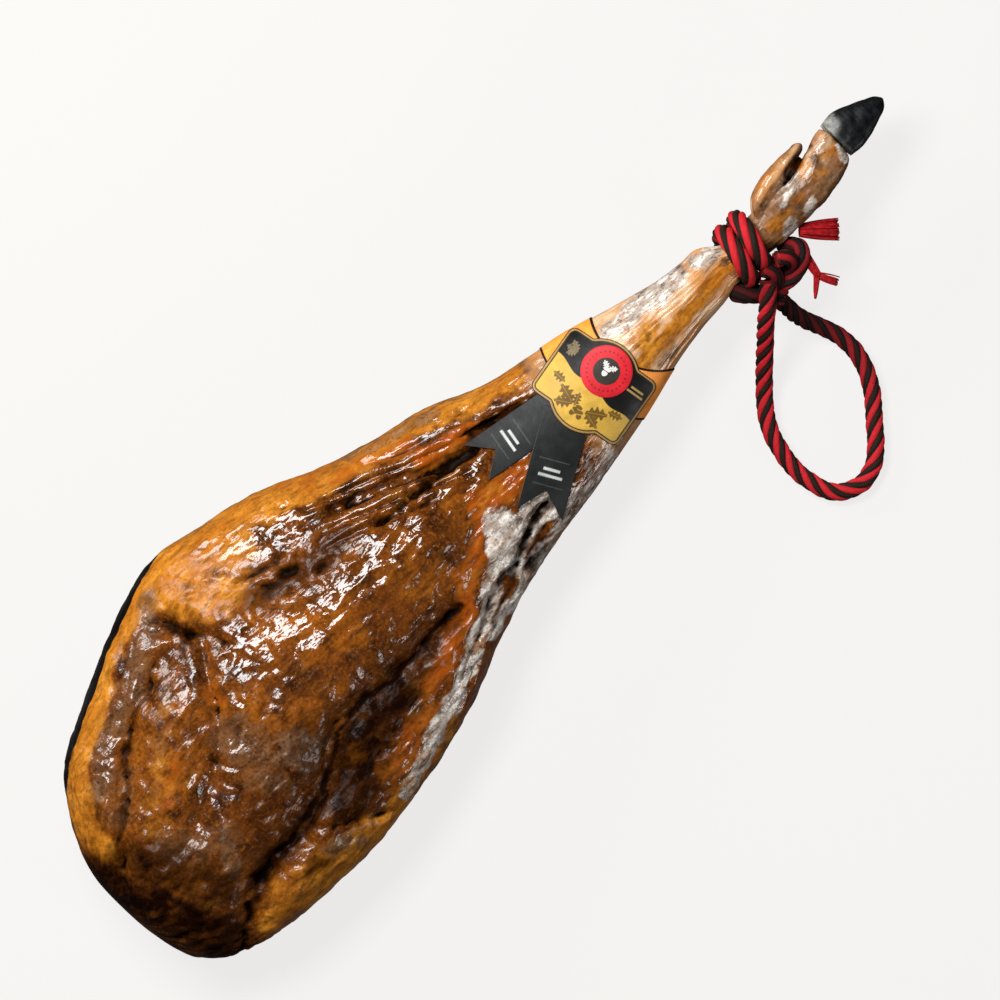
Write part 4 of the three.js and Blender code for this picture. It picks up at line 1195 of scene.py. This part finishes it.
def make_badge(material):
    """Card badge: dark field over a gold one, border lines, oak sprigs with acorns and plain bars."""
    outline = badge_outline(BADGE_RAYS)
    obj, u, v = disc_plate("badge", outline, BADGE_CENTRE, BADGE_RINGS, BADGE_LIFT, material, "badge_card",
                           "label_badge")
    closed = np.vstack([outline, outline[:1]])
    inset = np.full(u.shape, np.inf)
    near = np.hypot(u, v) > 0.5 * BADGE_SHOULDER
    inset[near] = distance_to(closed[::4].tolist(), u[near], v[near])
    acorns = np.max([acorn(u, v, *row, 3.4) for row in ACORNS], axis=0)
    layers = [(soft(v + 1.5 + 0.16 * u - 1.8 * np.cos(u / 5.5)), "#CFA544"),
              (0.85 * np.maximum(sprigs(u, v, LEAVES), acorns) * (inset > 4), "#4A300F"),
              (0.7 * sprigs(u, v, PALE_LEAVES) * (inset > 3), "#8C7B58")]
    layers += [(0.85 * bar(u, v, middle, 0, half, 0.8), "#B89A5A") for middle, half in BADGE_BARS]
    layers += [(soft(np.abs(inset - line) - half, 0.18), shade) for line, half, shade in BADGE_LINES]
    ink(obj, "#0E0C0B", layers)


def make_seal(material):
    """Round paper seal: a red ring with a row of dots, and a pale acorn on a dark middle."""
    angle = np.linspace(0, 2 * math.pi, 240, endpoint=False)
    outline = SEAL_RADIUS * np.stack([np.cos(angle), np.sin(angle)], -1)
    obj, u, v = disc_plate("seal", outline, SEAL_CENTRE, 64, SEAL_LIFT, material, "seal_print", "label_seal")
    reach = np.hypot(u, v)
    step = 2 * math.pi / SEAL_DOTS
    turn = np.arctan2(v, u) / step
    off_dot = np.hypot((turn - np.round(turn)) * step * SEAL_DOT_RING, reach - SEAL_DOT_RING)
    motif = np.maximum(acorn(u, v, (-0.5, 1.5), -90, 3.6), sprigs(u, v, SEAL_LEAVES))
    ink(obj, "#D01F2B", [(soft(reach - SEAL_CORE), "#332C26"), (0.75 * soft(off_dot - 0.75), "#5A1418"),
                         (0.5 * soft(np.abs(reach - SEAL_LINE) - 0.2), "#8E1218"), (motif, "#E9E6E0")])


def make_tails(material):
    """Two ribbon tails with swallow-tailed ends, thin printed rules and two plain bars each."""
    for (name, (start, end, half_width, notch)), lift in zip(TAILS.items(), TAIL_LIFTS):
        along = np.array(end, float) - start
        length = np.linalg.norm(along)
        along /= length
        t, across = np.meshgrid(np.linspace(0, 1, 130), np.linspace(-1, 1, 75), indexing="ij")
        reach = t * (TAIL_TUCK + length - notch * (1 - np.abs(across))) - TAIL_TUCK
        x = start[0] + along[0] * reach - along[1] * half_width * across
        y = start[1] + along[1] * reach + along[0] * half_width * across
        curl = 0.9 * smoothstep(length - 14, length, reach)
        face = pressed(x, y, lift + PAPER + curl)
        back = pressed(x, y, lift + curl)
        points = np.vstack([face.reshape(-1, 3), back.reshape(-1, 3)])
        body = points, outward(points, plate_faces(*t.shape))
        obj = piece(name + "_paper", new_mesh(name, body), material, "dark_paper", name)
        p = np.tile(reach.ravel(), 2)
        q = np.tile((half_width * across).ravel(), 2)
        middle, apart, wide = TAIL_RULES
        rules = 0.35 * soft(np.abs(np.abs(p - middle) - apart) - 0.22) * (np.abs(q) < wide)
        bars = [(bar(p, q, (place, 0), 90, half, 1.05), "#C9CBC8") for place, half in TAIL_BARS]
        ink(obj, "#1E1F1F", [(rules, "#8A8E8C")] + bars)


def make_band(material):
    """Paper band round the leg, closed, with a thin dark line along each edge."""
    across = np.linspace(0, 1, BAND_COLUMNS)
    angle = np.linspace(0, 2 * math.pi, BAND_RAYS, endpoint=False)
    share = np.concatenate([across, across[::-1]])
    outer = np.concatenate([np.ones(BAND_COLUMNS), np.zeros(BAND_COLUMNS)])
    s, a = np.meshgrid(share, angle, indexing="xy")
    low, high = BAND_EDGES
    front = np.maximum(np.sin(a), 0)
    x = low + (high - low) * s - BAND_LEAN * np.cos(a) - BAND_DIP * front ** 2
    y, z = leg_section(x + LEG_LENGTH / 2, a)
    y_low, y_high, z_low, z_high = leg_station(x + LEG_LENGTH / 2)
    out = np.stack([0 * x, (y - (y_low + y_high) / 2) / (y_high - y_low) ** 2,
                    (z - (z_low + z_high) / 2) / (z_high - z_low) ** 2], -1)
    out /= np.linalg.norm(out, axis=2, keepdims=True)
    lift = BAND_LIFT + PAPER * np.broadcast_to(outer, x.shape)
    rings = np.stack([x, y, z], -1) + out * lift[..., None]
    rows, columns = x.shape
    here = np.arange(rows * columns).reshape(rows, columns)
    beside = np.roll(here, -1, axis=1)
    quads = np.stack([here, beside, np.roll(beside, -1, axis=0), np.roll(here, -1, axis=0)], -1)
    points = rings.reshape(-1, 3)
    body = points, outward(points, quads.reshape(-1, 4))
    obj = piece("band", new_mesh("band", body), material, "orange_paper", "label_band")
    edge = np.minimum(s, 1 - s).ravel() * (high - low)
    ink(obj, "#FF9C3C", [(soft(edge - BAND_LINE, 0.3), "#120E0A")])


def make_label(material):
    """Band, ribbon tails, badge and seal, all of the same coated paper under their own print."""
    make_band(material)
    make_tails(material)
    make_badge(material)
    make_seal(material)


def printed_paper():
    """Coated label paper: the print lies under a faint gloss that shallow cockles bend."""
    material, tree = new_material("coated_paper")
    shade = add(tree, "Attribute", out="Color", attribute_name="print")
    cloud = cloudy(tree, 9, 4)
    worn = ranged(tree, cloud, 0.35, 0.7, 0.82, 1.1)
    return finished(material, {
        "Base Color": add(tree, "VectorMath", {0: shade, "Scale": worn}, operation="SCALE"),
        "Roughness": ranged(tree, cloud, 0.3, 0.7, 0.42, 0.6), "IOR": 1.5, "Specular IOR Level": 0.25,
        "Normal": bumped(tree, cloud, 0.25, 1.5)})


def twisted_cord():
    """Laid cotton cord: matt spun yarn, each strand a bundle of fine lines, darkened by painted shade in the
    grooves and where the rope lies in shadow.
    """
    material, tree = new_material("laid_cotton_cord")
    yarn = add(tree, "Attribute", out="Vector", attribute_name="yarn")
    cloud = add(tree, "TexNoise", {"Vector": yarn, "Scale": 0.35, "Detail": 4, "Roughness": 0.7})
    lines = add(tree, "TexWave", {"Vector": yarn, "Scale": 0.314 / 1.1, "Distortion": 1.2, "Detail": 2,
                                  "Detail Scale": 2.0}, out="Fac")
    colour = mixed(tree, share_of(tree, "red"), mixed(tree, cloud, "#110A05", "#2A1E14"),
                   mixed(tree, cloud, "#A01019", "#D82831"))
    # Painted shade: darker towards each strand's edges, in the grooves.
    groove_shade = ranged(tree, share_of(tree, "groove"), 0.35, 1, 0, 0.85)
    # Painted shade: near black where the rope lies in shadow, on the turns' undersides, in the knot and on
    # the loop's far run.
    shade_share = ranged(tree, share_of(tree, "grime"), 0, 1, 0, 0.92)
    return finished(material, {
        "Base Color": mixed(tree, shade_share, mixed(tree, groove_shade, colour, "#1A0806"), "#120302"),
        "Roughness": 0.75, "Specular IOR Level": 0.2, "Normal": bumped(tree, lines, 0.5, 0.35)})


def frayed_yarn():
    """Loose dyed cotton yarns: matt dark red that changes from yarn to yarn."""
    material, tree = new_material("loose_cotton_yarn")
    factor = ranged(tree, cloudy(tree, 3, 3), 0.35, 0.65)
    return finished(material, {"Base Color": mixed(tree, factor, "#7E0A10", "#B8161E"), "Roughness": 0.8,
                               "Specular IOR Level": 0.2})


def hoof_horn():
    """Worn hoof horn: near black keratin with a low gloss, grey and chalky where it is scraped."""
    material, tree = new_material("hoof_horn")
    cloud = cloudy(tree, 6, 6, 0.65)
    base = mixed(tree, ranged(tree, cloud, 0.4, 0.72), "#020203", "#101416")
    chalk = mixed(tree, cloudy(tree, 1.6, 3), "#4C5048", "#C2C2B6")
    scraped = worked_out(tree, "MULTIPLY", share_of(tree, "worn"), ranged(tree, cloud, 0.3, 0.65))
    return finished(material, {
        "Base Color": mixed(tree, scraped, base, chalk), "IOR": 1.55, "Specular IOR Level": 0.3,
        "Roughness": ranged(tree, cloud, 0.3, 0.7, 0.3, 0.5), "Normal": bumped(tree, cloud, 0.35, 0.8)})


def make_camera():
    """Looks straight down on the middle of the picture, turned so that the hoof is at the upper right."""
    camera = bpy.data.cameras.new("camera")
    camera.lens = LENS
    camera.sensor_width = 36
    camera.clip_start = 0.1
    camera.clip_end = 50
    obj = in_scene("camera", camera)
    height = PICTURE_WIDTH * LENS / camera.sensor_width + MIDDLE_HEIGHT
    obj.location = (PICTURE_CENTRE[0] * MM, PICTURE_CENTRE[1] * MM, height * MM)
    obj.rotation_euler = (0, 0, -math.radians(PICTURE_TURN))
    bpy.context.scene.camera = obj


def area_light(name, place, target, size, watts):
    """A soft white panel, wide and high by size, that faces a target; the camera doesn't see it."""
    light = bpy.data.lights.new(name, "AREA")
    light.shape = "RECTANGLE"
    light.size, light.size_y = size
    light.energy = watts
    obj = in_scene(name, light)
    obj.location = place
    away = obj.location - type(obj.location)(target)
    obj.rotation_euler = away.to_track_quat("Z", "Y").to_euler()
    obj.visible_camera = False


def make_studio():
    """A pale floor that glows a little, a dim room and soft lights from the picture's upper left."""
    material, _ = new_material("pale_floor")
    finished(material, {"Base Color": linear("#55534F"), "Roughness": 1.0, "Specular IOR Level": 0.0,
                        "Emission Color": linear("#F9F8F7"), "Emission Strength": 0.85})
    corners = FLOOR_HALF * np.array([(-1, -1, 0), (1, -1, 0), (1, 1, 0), (-1, 1, 0)]) - (0, 0, FLOOR_DROP)
    mesh = new_mesh("floor", (corners, [(0, 1, 2, 3)]))
    mesh.materials.append(material)
    floor = in_scene("floor", mesh)
    floor.visible_diffuse = False
    floor.visible_glossy = False
    world = bpy.data.worlds.new("room")
    world.use_nodes = True
    sky = world.node_tree.nodes["Background"].inputs
    sky["Color"].default_value = linear("#FFFFFF")
    sky["Strength"].default_value = ROOM_LIGHT
    bpy.context.scene.world = world
    for name, row in LIGHTS.items():
        area_light(name, *row)
    bpy.context.scene.view_settings.view_transform = "Standard"


make_camera()
make_studio()
ROPE = twisted_cord()
make_rope(ROPE)
make_tassels(frayed_yarn())
MEAT = cured_meat()
make_leg(MEAT)
make_foot(MEAT)
HORN = hoof_horn()
make_hoof("hoof_top", "hoof_upper", HORN, False)
make_hoof("hoof_below", "hoof_lower", HORN, True)
make_label(printed_paper())
